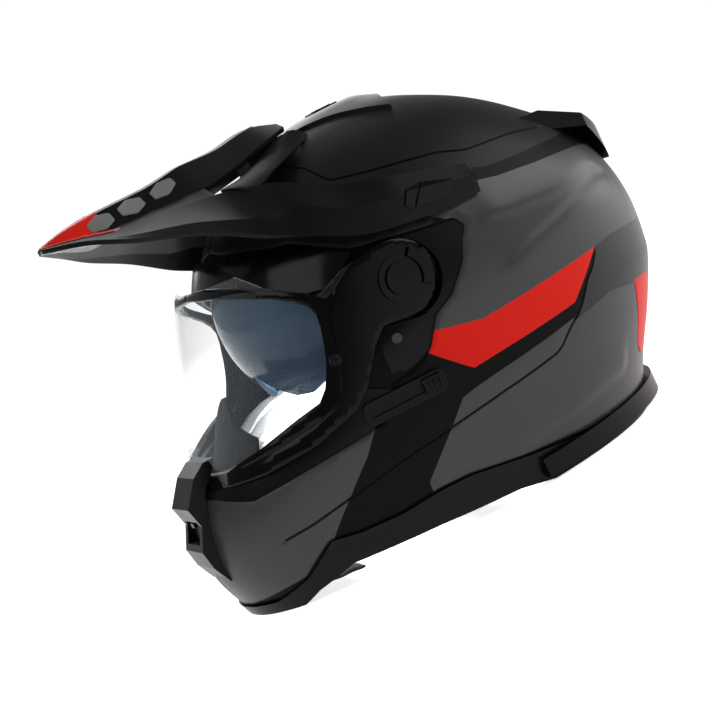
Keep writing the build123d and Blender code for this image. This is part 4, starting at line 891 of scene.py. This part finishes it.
# Rows, where they start and end, and how many sections lie between
PEAK_PARTS = (
    (BLADE_ROWS, TIP_Y, BLADE_END_Y, 26),
    (SPINE_ROWS, BLADE_END_Y, SPINE_END_Y, 22),
    (ARM_ROWS, BLADE_END_Y, ARM_END_Y, 36),
)
PEAK_WALL = 3.0
PEAK_BEVEL = 0.5
# Shares of a facet where the section has points: close to its creases and at its middle
FACET_SHARES = (0.0, 0.05, 0.5, 0.95)
# Flat units for each facet across, so that a flat place is near its real size
FACET_UNITS = 20.0
# Where the blade's normals are taken: how near its edges, and the steps across and along
ACROSS_MARGIN = 0.01
TIP_MARGIN = 0.4
BLADE_END_MARGIN = 0.5
ACROSS_STEP = 0.008
ALONG_STEP = 0.3

# Painted tip, as (x, y)
TIP_OUTLINE = (
    (0, -183.5), (7.2, -183.5), (19, -174), (43.5, -163.5), (35, -141), (23, -152), (12, -144), (0, -149),
)
TIP_PROUD = 0.45
TIP_SKIRT = 3.7
TIP_SPACING = 4.0

INSERT_PLACES = ((18.0, -146), (18.5, -124), (19.5, -101))
INSERT_HALF_WIDE = 6.6
INSERT_HALF_LONG = 9.6
INSERT_PROUD = 0.9
INSERT_EDGE_WIDE = 0.6
INSERT_SKIRT = 2.4
INSERT_SPACING = 3.0
INSERT_CORNER = 1.2

# Lip at the back of each opening, and where it runs into the crown
LIP = ((57, -80, 250.5), (50, -63, 251.5), (42, -45, 256.5), (36, -29, 262), (31, -14, 265))
LIP_ROOT = ((84, -70, 241), (69, -48, 247.5), (55, -28, 251.5), (43, -13, 254.5), (36, -4, 256.5))
LIP_STEPS = 24
LIP_SHARES = (0.0, 0.08, 0.3, 0.6, 1.0)
LIP_CROWN = 2.2
LIP_WALL = 2.0


def rows_at(rows, y):
    """The section at y, on smooth lines through the rows that never run past them."""
    places = np.array([r[0] for r in rows], float)
    values = np.array([np.ravel(r[1:]) for r in rows], float)
    steps = np.diff(values, axis=0) / np.diff(places)[:, None]
    slopes = np.zeros_like(values)
    slopes[0], slopes[-1] = steps[0], steps[-1]
    same = steps[:-1] * steps[1:] > 0
    total = np.where(same, steps[:-1] + steps[1:], 1.0)
    slopes[1:-1] = np.where(same, 2 * steps[:-1] * steps[1:] / total, 0.0)
    i = int(np.clip(np.searchsorted(places, y) - 1, 0, len(rows) - 2))
    span = places[i + 1] - places[i]
    t = (y - places[i]) / span
    h = (2 * t**3 - 3 * t**2 + 1, t**3 - 2 * t**2 + t, -2 * t**3 + 3 * t**2, t**3 - t**2)
    out = h[0] * values[i] + h[1] * span * slopes[i] + h[2] * values[i + 1] + h[3] * span * slopes[i + 1]
    return out.reshape(-1, 2)


def between(points, at):
    """The point at a place that counts along the list of points."""
    points = np.asarray(points, float)
    low = min(int(at), len(points) - 2)
    return points[low] + (points[low + 1] - points[low]) * (at - low)


class PeakTop:
    """The blade's upper side: a flat place is its facet across, in flat units, and its y."""

    def spread(self, flat):
        flat = np.asarray(flat, float)
        return flat[:, 0] / FACET_UNITS, flat[:, 1]

    def points(self, across, y):
        out = []
        for a, b in zip(across, y):
            row = rows_at(BLADE_ROWS, b)
            x, z = between(row, min(max(a, 0.0), len(row) - 1.001))
            out.append((x, b, z))
        return np.array(out)

    def normals(self, across, y):
        facets = len(BLADE_ROWS[0]) - 2
        across = np.clip(across, ACROSS_MARGIN, facets - 2 * ACROSS_MARGIN)
        y = np.clip(y, TIP_Y + TIP_MARGIN, BLADE_END_Y - BLADE_END_MARGIN)
        over = self.points(across + ACROSS_STEP, y) - self.points(across - ACROSS_STEP, y)
        on = self.points(across, y + ALONG_STEP) - self.points(across, y - ALONG_STEP)
        out = np.cross(over, on)
        return out / np.linalg.norm(out, axis=1)[:, None]

    def place(self, point):
        """The flat place of an (x, y) point seen from above."""
        x, y = point
        row = rows_at(BLADE_ROWS, min(max(y, TIP_Y), BLADE_END_Y))[:, 0]
        return (float(np.interp(x, row, range(len(row)))) * FACET_UNITS, y)


PEAK_TOP = PeakTop()


def grid_faces(rows, columns, first=0):
    """Faces of a grid of points that are numbered row by row from first."""
    corners = [first + i * columns + j for i in range(rows - 1) for j in range(columns - 1)]
    return [(v, v + 1, v + columns + 1, v + columns) for v in corners]


def build_peak():
    verts = []
    faces = []
    for rows, start, end, count in PEAK_PARTS:
        columns = len(rows[0]) - 1
        shares = sorted({min(i + part, columns - 1.0) for i in range(columns) for part in FACET_SHARES})
        faces.extend(grid_faces(count, len(shares), len(verts)))
        for y in np.linspace(start, end, count):
            row = rows_at(rows, y)
            verts.extend((x, y, z) for x, z in (between(row, share) for share in shares))
    mesh = mesh_from("peak_shell", verts, faces, 0)
    edit(mesh, mirror, weld, face_out, face_up)
    mesh.materials.append(FINISHES["peak"])
    obj = new_object("peak_shell", mesh, "shell")
    thick(obj, PEAK_WALL, PEAK_BEVEL, 12)
    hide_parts("peak")


def build_tip():
    """The painted tip, a thin cap over the blade with a pale edge, a painted highlight where that edge
    catches the light.
    """
    outline = [PEAK_TOP.place(p) for p in TIP_OUTLINE]
    sheet = sheet_on(PEAK_TOP, outline, [], [], level_at(TIP_PROUD), 0, TIP_SKIRT, TIP_SPACING, True, 1)
    new_object("peak_tip", whole("peak_tip", sheet, 25, "peak_red", "tip_edge"), "shell")


def build_inserts():
    """Three hexagonal plates a side."""
    verts = []
    faces = []
    colours = []
    corners = [math.radians(60 * i) for i in range(6)]
    for x, y in INSERT_PLACES:
        ring = [(x + INSERT_HALF_WIDE * math.cos(a), y + INSERT_HALF_LONG * math.sin(a)) for a in corners]
        outline = rounded([PEAK_TOP.place(p) for p in ring], INSERT_CORNER, True)
        sizes = (level_at(INSERT_PROUD), INSERT_EDGE_WIDE, INSERT_SKIRT, INSERT_SPACING)
        sheet = sheet_on(PEAK_TOP, outline, [], [], *sizes, closed=True)
        faces.extend(tuple(v + len(verts) for v in f) for f in sheet[1])
        verts.extend(sheet[0])
        colours.extend(sheet[2])
    mesh = whole("hexagonal_inserts", (verts, faces, colours), 25, "insert")
    plates = new_object("hexagonal_inserts", mesh, "shell")
    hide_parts("peak_inserts_left", "peak_inserts_right")


def build_fairing():
    """Crowned lips that lead from the peak's openings into the crown."""
    verts = []
    for i in range(LIP_STEPS + 1):
        along = i / LIP_STEPS * (len(LIP) - 1)
        lip = between(LIP, along)
        root = between(LIP_ROOT, along)
        for t in LIP_SHARES:
            point = lip + (root - lip) * t
            point[2] += LIP_CROWN * math.sin(math.pi * t) ** 1.5
            verts.append(tuple(point))
    mesh = mesh_from("peak_fairing", verts, grid_faces(LIP_STEPS + 1, len(LIP_SHARES)), 0)
    edit(mesh, face_up)
    edit(mesh, mirror)
    mesh.materials.append(FINISHES["peak"])
    thick(new_object("peak_fairing", mesh, "shell"), LIP_WALL, PEAK_BEVEL, 25)


# Visor's frame

VISOR_SIDE = 119.4
VISOR_REAR = 85
VISOR_MIDDLE = -15
VISOR_FULLNESS = 2.3
# Levels of the visor, with the y of its front
VISOR_FRONT = (
    (66, -176), (78, -172), (86, -165), (110, -155), (130, -146), (162, -131), (200, -113), (206, -110),
    (220, -104),
)
VISOR = Skin([(z, VISOR_SIDE, y, VISOR_REAR, VISOR_MIDDLE) for z, y in VISOR_FRONT], *[VISOR_FULLNESS] * 2)
VISOR_THICKNESS = 2.2

PIVOT_Y = -24
PIVOT_Z = 157
EAR_RADIUS = 24.2
EAR_TURNS = [math.radians(a) for a in range(90, -91, -12)]
EAR = [(PIVOT_Y + EAR_RADIUS * math.cos(a), PIVOT_Z + EAR_RADIUS * math.sin(a)) for a in EAR_TURNS]
FRAME_TOP = [
    (0, -112, 200.2), (34, -110, 199.8), (54, -107, 197), (71, -101, 193), (85, -94, 187), (95, -87, 182),
    (-77, 175), (-72, 170), (-69, 167), (-59, 172), (-49, 178.3),
]
FRAME_BOTTOM = [
    (-46, 136.8), (-56, 128.8), (-70, 109.8), (-82, 99.8), (-110, 90.8), (-140, 86.8), (46, -157, 86.8),
]
FRAME_INNER = [
    (46, -153, 95), (57, -146, 98), (74, -135, 102), (84, -123, 106), (94, -111, 110), (-98, 113), (-92, 119),
    (-88, 126), (-85, 132), (-82, 140), (-80, 147), (-78, 154), (-77, 161), (-79, 167), (-84, 173),
    (-93, 180), (71, -104, 187), (42, -112, 193), (0, -114, 196),
]
FRAME_LINE = [
    (-61, 171), (-71, 157), (-75, 143), (-80, 125), (-86, 108), (101, -102, 103), (83, -127, 98),
    (58, -147, 94.5),
]
FRAME_PROUD = 0.45
FRAME_SKIRT = VISOR_THICKNESS + 0.8
FRAME_EDGE_WIDE = 0.7
FRAME_SPACING = 3.2
FRAME_LINE_CORNER = 6.0
FRAME_LINE_WIDE = 0.9
FRAME_LINE_DEEP = 0.4


def build_visor():
    """The black frame with its ears, over both sides of the clear visor."""
    outline = [VISOR.place(p) for p in FRAME_TOP + EAR + FRAME_BOTTOM + FRAME_INNER]
    line = rounded([VISOR.place(p) for p in FRAME_LINE], FRAME_LINE_CORNER, False)
    grooves = [(line, FRAME_LINE_WIDE, FRAME_LINE_DEEP)]
    sizes = (level_at(FRAME_PROUD), FRAME_EDGE_WIDE, FRAME_SKIRT, FRAME_SPACING)
    sheet = sheet_on(VISOR, outline, [], grooves, *sizes, closed=True)
    new_object("visor_frame", whole("visor_frame", sheet, 40, "gloss"), "visor")


# Soft goods

PAD_DRAWN_IN = 0.6
PAD_FRAMES = 20
SEAM_WIDE = 2.2
PAD_VOXEL = 4.0
PAD_SMOOTHING = 4
PAD_MASS = 0.3
PAD_STIFFNESS = 12.0
# Node, new piece, finish, how far a point may swell, its seams and how tight it is filled.
# A seam is an axis, its place on it and its depth.
PADS = (
    (
        "comfort_lining", "crown_lining", "lining", 1.4,
        ((0, 24.0, 1.3), (0, 52.0, 1.3), (1, 40.0, 1.1), (2, 118.0, 1.1)), 0.5,
    ),
    ("cheek_pad_left", "cheek_cushion_left", "lining", 2.0, ((2, 70.0, 1.2), (1, -34.0, 1.2)), 0.7),
    ("cheek_pad_right", "cheek_cushion_right", "lining", 2.0, ((2, 70.0, 1.2), (1, -34.0, 1.2)), 0.7),
    ("neck_roll", "neck_roll_cushion", "lining_dark", 2.0, ((0, 40.0, 1.4), (0, 80.0, 1.4)), 0.7),
)

# Webbing: the strap's line as (x, z), where it ends at the buckle, and the tabs under the arch
STRAP_LINE = ((94.1, 27.4), (94.1, 14.0), (90.0, 9.4), (60.0, 7.0), (44.0, 6.6))
STRAP_END_Z = 6.6
STRAP_ENDS = (("left", 1, 24.5), ("right", -1, 40.2))
STRAP_Y = -25.0
STRAP_THICKNESS = 1.7
TAB_LINE = ((74.4, 35.2), (74.4, 25.0), (74.4, 13.4))
TAB_Y = -95.0
TAB_THICKNESS = 1.8
WEBBING_WIDE = 23.6
WEBBING_COLUMNS = 14
WEBBING_BEND = 6.0
WEBBING_SPACING = 1.5
# The webbing is thinner by this share at its edges
WEBBING_EDGE_SHARE = 0.35
WEAVE_UNIT = 20.0

CURTAIN_VOXEL = 1.1
CURTAIN_SMOOTHING = 3
CURTAIN_CENTRE_Y = -40.0
CURTAIN_INNER = 60.0
CURTAIN_FADE = 60.0
GATHERS = 46.0
GATHER_HEIGHT = 0.55


def welded(node, name, finish):
    """A copy of a CAD solid's mesh with its triangles joined, as a piece of its own."""
    mesh = NODES[node].data.copy()
    mesh.name = name
    edit(mesh, lambda bm: bmesh.ops.remove_doubles(bm, verts=bm.verts[:], dist=WELD / 2))
    mesh.materials.clear()
    mesh.materials.append(FINISHES[finish])
    return new_object(name, mesh, "shell")


def remeshed(obj, voxel, rounds):
    """The piece on an even mesh, smoothed a few rounds."""
    remesh = obj.modifiers.new("even", "REMESH")
    remesh.mode = "VOXEL"
    remesh.voxel_size = voxel * MM
    finished(obj, NEVER_SHARP)
    edit(obj.data, *[soften] * rounds)


def coords_of(mesh):
    flat = np.empty(len(mesh.vertices) * 3)
    mesh.vertices.foreach_get("co", flat)
    return flat.reshape(-1, 3)


def normals_of(mesh):
    flat = np.empty(len(mesh.vertices) * 3)
    mesh.vertex_normals.foreach_get("vector", flat)
    return flat.reshape(-1, 3)


def move_to(mesh, points):
    mesh.vertices.foreach_set("co", points.ravel())
    mesh.update()


def blow_up(obj, cap):
    """Swells the piece by Cloth pressure, each point no further than cap."""
    scene = bpy.context.scene
    start = coords_of(obj.data)
    cloth = obj.modifiers.new("swell", "CLOTH")
    cloth.settings.quality = 4
    cloth.settings.mass = PAD_MASS
    cloth.settings.tension_stiffness = PAD_STIFFNESS
    cloth.settings.compression_stiffness = PAD_STIFFNESS
    cloth.settings.use_pressure = True
    cloth.settings.uniform_pressure_force = scene.helmet_looks.pad_pressure
    cloth.settings.effector_weights.gravity = 0.0
    cloth.point_cache.frame_start = 1
    cloth.point_cache.frame_end = PAD_FRAMES
    for number in range(1, PAD_FRAMES + 1):
        scene.frame_set(number)
    graph = bpy.context.evaluated_depsgraph_get()
    moved = coords_of(obj.evaluated_get(graph).data) - start
    obj.modifiers.clear()
    far = np.linalg.norm(moved, axis=1)
    keep = np.minimum(1.0, cap * MM / np.maximum(far, 1e-9))
    move_to(obj.data, start + moved * keep[:, None])


def build_pad(node, name, finish, cap, seams, fill):
    """A sewn pad: the CAD solid remeshed and blown up, then drawn in along its seams."""
    obj = welded(node, name, finish)
    remeshed(obj, PAD_VOXEL, PAD_SMOOTHING)
    move_to(obj.data, coords_of(obj.data) - normals_of(obj.data) * PAD_DRAWN_IN * MM)
    blow_up(obj, cap)
    finer = obj.modifiers.new("finer", "SUBSURF")
    finer.levels = finer.render_levels = 1
    finished(obj, NEVER_SHARP)
    points = coords_of(obj.data)
    pull = np.zeros(len(points))
    for axis, at, deep in seams:
        place = np.abs(points[:, axis]) if axis == 0 else points[:, axis]
        pull += deep * MM * np.exp(-(((place - at * MM) / (SEAM_WIDE * MM)) ** 2))
    move_to(obj.data, points - normals_of(obj.data) * pull[:, None])
    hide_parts(node)


def build_lining():
    for pad in PADS:
        build_pad(*pad)


def band(name, path, middle_y, thickness, finish):
    """Woven webbing along a path of (x, z) points, as wide as Y is, with a UV for its weave."""
    line = dense(rounded(path, WEBBING_BEND, False), WEBBING_SPACING, False)
    verts = []
    uvs = []
    run = 0.0
    for i, (x, z) in enumerate(line):
        before = line[max(i - 1, 0)]
        after = line[min(i + 1, len(line) - 1)]
        run += math.dist(line[i - 1], (x, z)) if i else 0.0
        length = max(math.dist(before, after), 1e-9)
        out = ((after[1] - before[1]) / length, -(after[0] - before[0]) / length)
        for side in (1, -1):
            for j in range(WEBBING_COLUMNS + 1):
                share = j / WEBBING_COLUMNS if side == 1 else 1 - j / WEBBING_COLUMNS
                half = thickness / 2 * (1 - WEBBING_EDGE_SHARE * abs(2 * share - 1) ** 6)
                y = middle_y + WEBBING_WIDE * (share - 0.5)
                verts.append((x + out[0] * half * side, y, z + out[1] * half * side))
                uvs.append((WEBBING_WIDE * share / WEAVE_UNIT, run / WEAVE_UNIT))
    ring = 2 * (WEBBING_COLUMNS + 1)
    last = (len(line) - 1) * ring
    corners = [(i, j, (j + 1) % ring) for i in range(0, last, ring) for j in range(ring)]
    faces = [(i + j, i + k, i + ring + k, i + ring + j) for i, j, k in corners]
    faces.append(tuple(range(ring))[::-1])
    faces.append(tuple(last + j for j in range(ring)))
    mesh = mesh_from(name, verts, faces, 50)
    layer = mesh.uv_layers.new(name="Weave")
    for loop in mesh.loops:
        layer.data[loop.index].uv = uvs[loop.vertex_index]
    edit(mesh, face_out)
    mesh.materials.append(FINISHES[finish])
    return new_object(name, mesh, "shell")


def build_straps():
    for side, sign, end in STRAP_ENDS:
        path = [(sign * x, z) for x, z in STRAP_LINE + ((end, STRAP_END_Z),)]
        strap = band("chin_strap_" + side, path, STRAP_Y, STRAP_THICKNESS, "webbing")
        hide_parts("strap_" + side)
        path = [(sign * x, z) for x, z in TAB_LINE]
        tab = band("emergency_tab_" + side, path, TAB_Y, TAB_THICKNESS, "red_tab")
        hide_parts("pull_tab_" + side)


def build_curtain():
    """The curtain under the chin: a knitted sheet gathered along its free edge."""
    obj = welded("chin_curtain", "chin_curtain_knit", "curtain")
    remeshed(obj, CURTAIN_VOXEL, CURTAIN_SMOOTHING)
    points = coords_of(obj.data) / MM
    ahead = points[:, 1] - CURTAIN_CENTRE_Y
    around = np.arctan2(points[:, 0], -ahead)
    edge = np.clip((np.hypot(points[:, 0], ahead) - CURTAIN_INNER) / CURTAIN_FADE, 0.0, 1.0)
    points[:, 2] += GATHER_HEIGHT * (1 - edge) * np.sin(around * GATHERS)
    move_to(obj.data, points * MM)
    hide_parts("chin_curtain")


# Rows of small ribs

OUTSIDE_X = 140
OUTSIDE_Z = 300
BLOCK_ROUND = 0.25
SLIDER_RIBS_HALF_LONG = 3.6
TOP_RIBS_HALF_LONG = 5
PANEL_RIBS_Z = 120
PANEL_RIBS_Y = (-31, -19)


def block_tree():
    """Geometry nodes that set small blocks along a straight line, and the names of its inputs."""
    tree = bpy.data.node_groups.new("blocks_along_line", "GeometryNodeTree")
    tree.interface.new_socket("Geometry", in_out="OUTPUT", socket_type="NodeSocketGeometry")
    names = {}
    for label, kind in (
        ("Start", "NodeSocketVector"),
        ("End", "NodeSocketVector"),
        ("Count", "NodeSocketInt"),
        ("Block Size", "NodeSocketVector"),
        ("Material", "NodeSocketMaterial"),
    ):
        names[label] = tree.interface.new_socket(label, in_out="INPUT", socket_type=kind).identifier
    given = add_node(tree, "NodeGroupInput").outputs
    ends = {0: given["Count"], 2: given["Start"], 3: given["End"]}
    line = add_node(tree, "GeometryNodeMeshLine", {"mode": "END_POINTS"}, ends)
    block = add_node(tree, "GeometryNodeMeshCube", None, {"Size": given["Block Size"]})
    pair = {"Points": line.outputs["Mesh"], "Instance": block.outputs["Mesh"]}
    placed = add_node(tree, "GeometryNodeInstanceOnPoints", None, pair)
    real = add_node(tree, "GeometryNodeRealizeInstances", None, {"Geometry": placed.outputs["Instances"]})
    given = {"Geometry": real.outputs["Geometry"], "Material": given["Material"]}
    coloured = add_node(tree, "GeometryNodeSetMaterial", None, given)
    add_node(tree, "NodeGroupOutput", None, {"Geometry": coloured.outputs["Geometry"]})
    return tree, names


def touched(node, start, towards):
    """Where a ray meets a CAD node, in millimetres."""
    mesh = NODES[node].data
    solid = BVHTree.FromPolygons([v.co for v in mesh.vertices], [p.vertices for p in mesh.polygons])
    hit = solid.ray_cast(Vector(start) * MM, Vector(towards), 0.5)[0]
    return None if hit is None else hit / MM


def ribs(blocks, name, node, rays, towards, count, size, finish, body):
    """A row of small moulded ribs between the places where two rays meet the node."""
    tree, names = blocks
    start, end = (touched(node, ray, towards) for ray in rays)
    if start is None or end is None:
        return
    obj = new_object(name, bpy.data.meshes.new(name), body)
    row = obj.modifiers.new("row", "NODES")
    row.node_group = tree
    row[names["Start"]] = tuple(v * MM for v in start)
    row[names["End"]] = tuple(v * MM for v in end)
    row[names["Count"]] = count
    row[names["Block Size"]] = tuple(v * MM for v in size)
    row[names["Material"]] = FINISHES[finish]
    round_edges(obj, BLOCK_ROUND, 30)
    finished(obj, 40)


def middle_of(node):
    low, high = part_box(node)
    return (Vector(low) + Vector(high)) / 2 / MM


def build_details():
    blocks = block_tree()
    middle = middle_of("slider_button")
    rays = [(OUTSIDE_X, middle.y + s * SLIDER_RIBS_HALF_LONG, middle.z) for s in (-1, 1)]
    ribs(blocks, "slider_ribs", "slider_button", rays, (-1, 0, 0), 5, (1.2, 0.9, 6.5), "trim", "slider")
    middle = middle_of("top_vent_slider")
    rays = [(0, middle.y + s * TOP_RIBS_HALF_LONG, OUTSIDE_Z) for s in (-1, 1)]
    size = (12.0, 0.8, 0.9)
    ribs(blocks, "top_slider_ribs", "top_vent_slider", rays, (0, 0, -1), 6, size, "trim", "top_slider")
    for side, sign in (("left", 1), ("right", -1)):
        rays = [(sign * OUTSIDE_X, y, PANEL_RIBS_Z) for y in PANEL_RIBS_Y]
        towards = (-sign, 0, 0)
        size = (0.9, 0.8, 5.0)
        ribs(blocks, "side_ribs_" + side, "side_panel_" + side, rays, towards, 5, size, "gloss", "shell")


# Stage: lengths here are in metres, as in the scene

PHOTO_SIDE = 710
SENSOR = 36.0
CAMERA_AZIMUTH = math.radians(70.0)
CAMERA_ELEVATION = math.radians(-2.5)
CAMERA_PITCH = math.radians(28.0)
CAMERA_DISTANCE = 1.2
CAMERA_AIM = Vector((0.0, -0.037, 0.115))
CAMERA_LENS = SENSOR * 1836.0 / PHOTO_SIDE
CAMERA_SHIFT_RIGHT = 10
CAMERA_SHIFT_UP = 5

WHITE = (1.0, 1.0, 1.0, 1.0)
CAMERA_WHITE = 1.02
FLOOR_REACH = 6.0
FLOOR_SIDES = 24
FLOOR_GLOW = 0.75

LIGHT_TARGET = Vector((0.0, 0.0, 0.13))
# Name, place from the camera's aim along its right, up and back, size and watts
KEY_LIGHT = ("key_light", (0.9, 1.3, 0.5), (1.4, 0.9))
REAR_LIGHT = ("rear_light", (1.5, 0.6, -0.4), (0.9, 1.2), 14.0)
FRONT_LIGHT = ("front_light", (-1.3, 0.5, 0.9), (1.0, 1.2), 10.0)
FAR_PLACE = Vector((-1.5, 0.3, 0.9))
FAR_SIZE = (1.2, 1.0)
FAR_POWER = 9.0
CAVITY_PLACE = (0.0, -0.035, 0.125)
CAVITY_POWER = 0.7
CAVITY_RADIUS = 0.03


def camera_axes():
    """Right, up and back of the camera in the helmet's frame.
    In the photograph the helmet hangs nose down, so the camera is turned with it."""
    a = CAMERA_AZIMUTH
    e = CAMERA_ELEVATION
    back = Vector((math.sin(a) * math.cos(e), -math.cos(a) * math.cos(e), math.sin(e)))
    right = Vector((math.cos(a), math.sin(a), 0.0))
    up = back.cross(right)
    level = Matrix.Rotation(-CAMERA_PITCH, 3, "X")
    return level @ right, level @ up, level @ back


def place_light(name, light, place):
    obj = bpy.data.objects.new(name, light)
    bpy.context.scene.collection.objects.link(obj)
    obj.location = place
    return obj


def soft_light(name, place, size, power):
    light = bpy.data.lights.new(name, "AREA")
    light.shape = "RECTANGLE"
    light.size, light.size_y = size
    light.energy = power
    obj = place_light(name, light, place)
    obj.rotation_euler = (LIGHT_TARGET - place).to_track_quat("-Z", "Y").to_euler()


def build_camera(right, up, back):
    camera = bpy.data.cameras.new("camera")
    camera.sensor_width = SENSOR
    camera.lens = CAMERA_LENS
    camera.shift_x = CAMERA_SHIFT_RIGHT / PHOTO_SIDE
    camera.shift_y = CAMERA_SHIFT_UP / PHOTO_SIDE
    camera.clip_start = 0.05
    obj = bpy.data.objects.new("camera", camera)
    bpy.context.scene.collection.objects.link(obj)
    turn = Matrix((right, up, back)).transposed().to_4x4()
    obj.matrix_world = Matrix.Translation(CAMERA_AIM + back * CAMERA_DISTANCE) @ turn
    bpy.context.scene.camera = obj


def build_world():
    """A white room: pure white to the camera, and dimmer as a source of light."""
    scene = bpy.context.scene
    scene.view_settings.view_transform = "Standard"
    scene.view_settings.look = "None"
    if scene.world is None:
        scene.world = bpy.data.worlds.new("studio")
    scene.world.use_nodes = True
    tree = scene.world.node_tree
    background = next(n for n in tree.nodes if n.type == "BACKGROUND")
    ray = add_node(tree, "ShaderNodeLightPath").outputs["Is Camera Ray"]
    strength = mapped(tree, ray, scene.helmet_looks.white_level, CAMERA_WHITE)
    feed(tree, background, {"Color": WHITE, "Strength": strength})


def build_floor():
    turns = [2 * math.pi * i / FLOOR_SIDES for i in range(FLOOR_SIDES)]
    verts = [(0.0, 0.0, 0.0)] + [(FLOOR_REACH * math.cos(a), FLOOR_REACH * math.sin(a), 0.0) for a in turns]
    faces = [(0, i + 1, (i + 1) % FLOOR_SIDES + 1) for i in range(FLOOR_SIDES)]
    mesh = bpy.data.meshes.new("floor")
    mesh.from_pydata(verts, [], faces)
    material, tree, shader, place = fresh("white_studio_floor")
    feed(tree, shader, varied(tree, place, "#fbfbfb", "#f8f8f8", 2.0, 0.8, 0.03))
    feed(tree, shader, {"Emission Color": WHITE, "Emission Strength": FLOOR_GLOW})
    mesh.materials.append(material)
    new_object("floor", mesh, None)


def build_lights(right, up, back):
    key = KEY_LIGHT + (bpy.context.scene.helmet_looks.key_power,)
    for name, (along, above, behind), size, power in (key, REAR_LIGHT, FRONT_LIGHT):
        soft_light(name, CAMERA_AIM + right * along + up * above + back * behind, size, power)
    soft_light("far_light", FAR_PLACE, FAR_SIZE, FAR_POWER)
    # The photograph shows the space behind the visor as white, so a lamp lights the lining
    inner = bpy.data.lights.new("cavity_lamp", "POINT")
    inner.energy = CAVITY_POWER
    inner.shadow_soft_size = CAVITY_RADIUS
    place_light("cavity_lamp", inner, CAVITY_PLACE)


def build_stage():
    axes = camera_axes()
    build_camera(*axes)
    build_world()
    build_floor()
    build_lights(*axes)


# Settings


class HelmetPaint(bpy.types.PropertyGroup):
    """Colours of the painted areas"""

    grey_light: bpy.props.StringProperty(name="Gunmetal, light", default="#292929")
    grey_dark: bpy.props.StringProperty(name="Gunmetal, dark", default="#232323")
    red: bpy.props.StringProperty(name="Signal red", default="#b00d00")


class HelmetLooks(bpy.types.PropertyGroup):
    """Strengths of the pads, the key light and the room"""

    paint: bpy.props.PointerProperty(type=HelmetPaint)
    pad_pressure: bpy.props.FloatProperty(name="Pad pressure", default=4.0, min=0.0)
    key_power: bpy.props.FloatProperty(name="Key light, watts", default=17.0, min=0.0)
    white_level: bpy.props.FloatProperty(name="Room brightness", default=0.3, min=0.0)


# Operators, in the order in which they run


class HELMET_OT_finishes(bpy.types.Operator):
    """Every material"""

    bl_idname = "helmet.finishes"
    bl_label = "Materials"

    def execute(self, context):
        make_materials(context.scene.helmet_looks.paint)
        return {"FINISHED"}


class HELMET_OT_stage(bpy.types.Operator):
    """Floor, lights and camera"""

    bl_idname = "helmet.stage"
    bl_label = "Stage"

    def execute(self, context):
        build_stage()
        return {"FINISHED"}


class HELMET_OT_nodes(bpy.types.Operator):
    """Finishes of the CAD nodes that stay"""

    bl_idname = "helmet.nodes"
    bl_label = "Finishes"

    def execute(self, context):
        dress_nodes()
        return {"FINISHED"}


class HELMET_OT_shell(bpy.types.Operator):
    """Painted skin of the shell"""

    bl_idname = "helmet.shell"
    bl_label = "Painted shell"

    def execute(self, context):
        build_shell_skin()
        return {"FINISHED"}


class HELMET_OT_peak(bpy.types.Operator):
    """Peak with its spine, arms, painted tip, inserts and fairing"""

    bl_idname = "helmet.peak"
    bl_label = "Peak"

    def execute(self, context):
        build_peak()
        build_tip()
        build_inserts()
        build_fairing()
        return {"FINISHED"}


class HELMET_OT_visor(bpy.types.Operator):
    """Black frame and ears of the clear visor"""

    bl_idname = "helmet.visor"
    bl_label = "Visor frame"

    def execute(self, context):
        build_visor()
        return {"FINISHED"}


class HELMET_OT_lining(bpy.types.Operator):
    """Crown lining, cheek cushions and neck roll"""

    bl_idname = "helmet.lining"
    bl_label = "Lining"

    def execute(self, context):
        build_lining()
        return {"FINISHED"}


class HELMET_OT_curtain(bpy.types.Operator):
    """Knitted curtain under the chin"""

    bl_idname = "helmet.curtain"
    bl_label = "Chin curtain"

    def execute(self, context):
        build_curtain()
        return {"FINISHED"}


class HELMET_OT_webbing(bpy.types.Operator):
    """Chin straps and emergency tabs"""

    bl_idname = "helmet.webbing"
    bl_label = "Straps and tabs"

    def execute(self, context):
        build_straps()
        return {"FINISHED"}


class HELMET_OT_details(bpy.types.Operator):
    """Ribs on the sliders and side panels"""

    bl_idname = "helmet.details"
    bl_label = "Small details"

    def execute(self, context):
        build_details()
        return {"FINISHED"}


OPERATORS = (
    HELMET_OT_finishes,
    HELMET_OT_stage,
    HELMET_OT_nodes,
    HELMET_OT_shell,
    HELMET_OT_peak,
    HELMET_OT_visor,
    HELMET_OT_lining,
    HELMET_OT_curtain,
    HELMET_OT_webbing,
    HELMET_OT_details,
)


class HELMET_PT_looks(bpy.types.Panel):
    """Settings and build buttons"""

    bl_label = "Helmet looks"
    bl_space_type = "VIEW_3D"
    bl_region_type = "UI"
    bl_category = "Helmet"

    def draw(self, context):
        looks = context.scene.helmet_looks
        for key in ("pad_pressure", "key_power", "white_level"):
            self.layout.prop(looks, key)
        for key in ("grey_light", "grey_dark", "red"):
            self.layout.prop(looks.paint, key)
        for item in OPERATORS:
            self.layout.operator(item.bl_idname)


CLASSES = (HelmetPaint, HelmetLooks) + OPERATORS + (HELMET_PT_looks,)


def register():
    for item in CLASSES:
        bpy.utils.register_class(item)
    bpy.types.Scene.helmet_looks = bpy.props.PointerProperty(type=HelmetLooks)


def unregister():
    del bpy.types.Scene.helmet_looks
    for item in reversed(CLASSES):
        bpy.utils.unregister_class(item)


def main():
    register()
    bpy.ops.helmet.finishes()
    bpy.ops.helmet.stage()
    bpy.ops.helmet.nodes()
    bpy.ops.helmet.shell()
    bpy.ops.helmet.peak()
    bpy.ops.helmet.visor()
    bpy.ops.helmet.lining()
    bpy.ops.helmet.curtain()
    bpy.ops.helmet.webbing()
    bpy.ops.helmet.details()


if __name__ == "__main__":
    main()
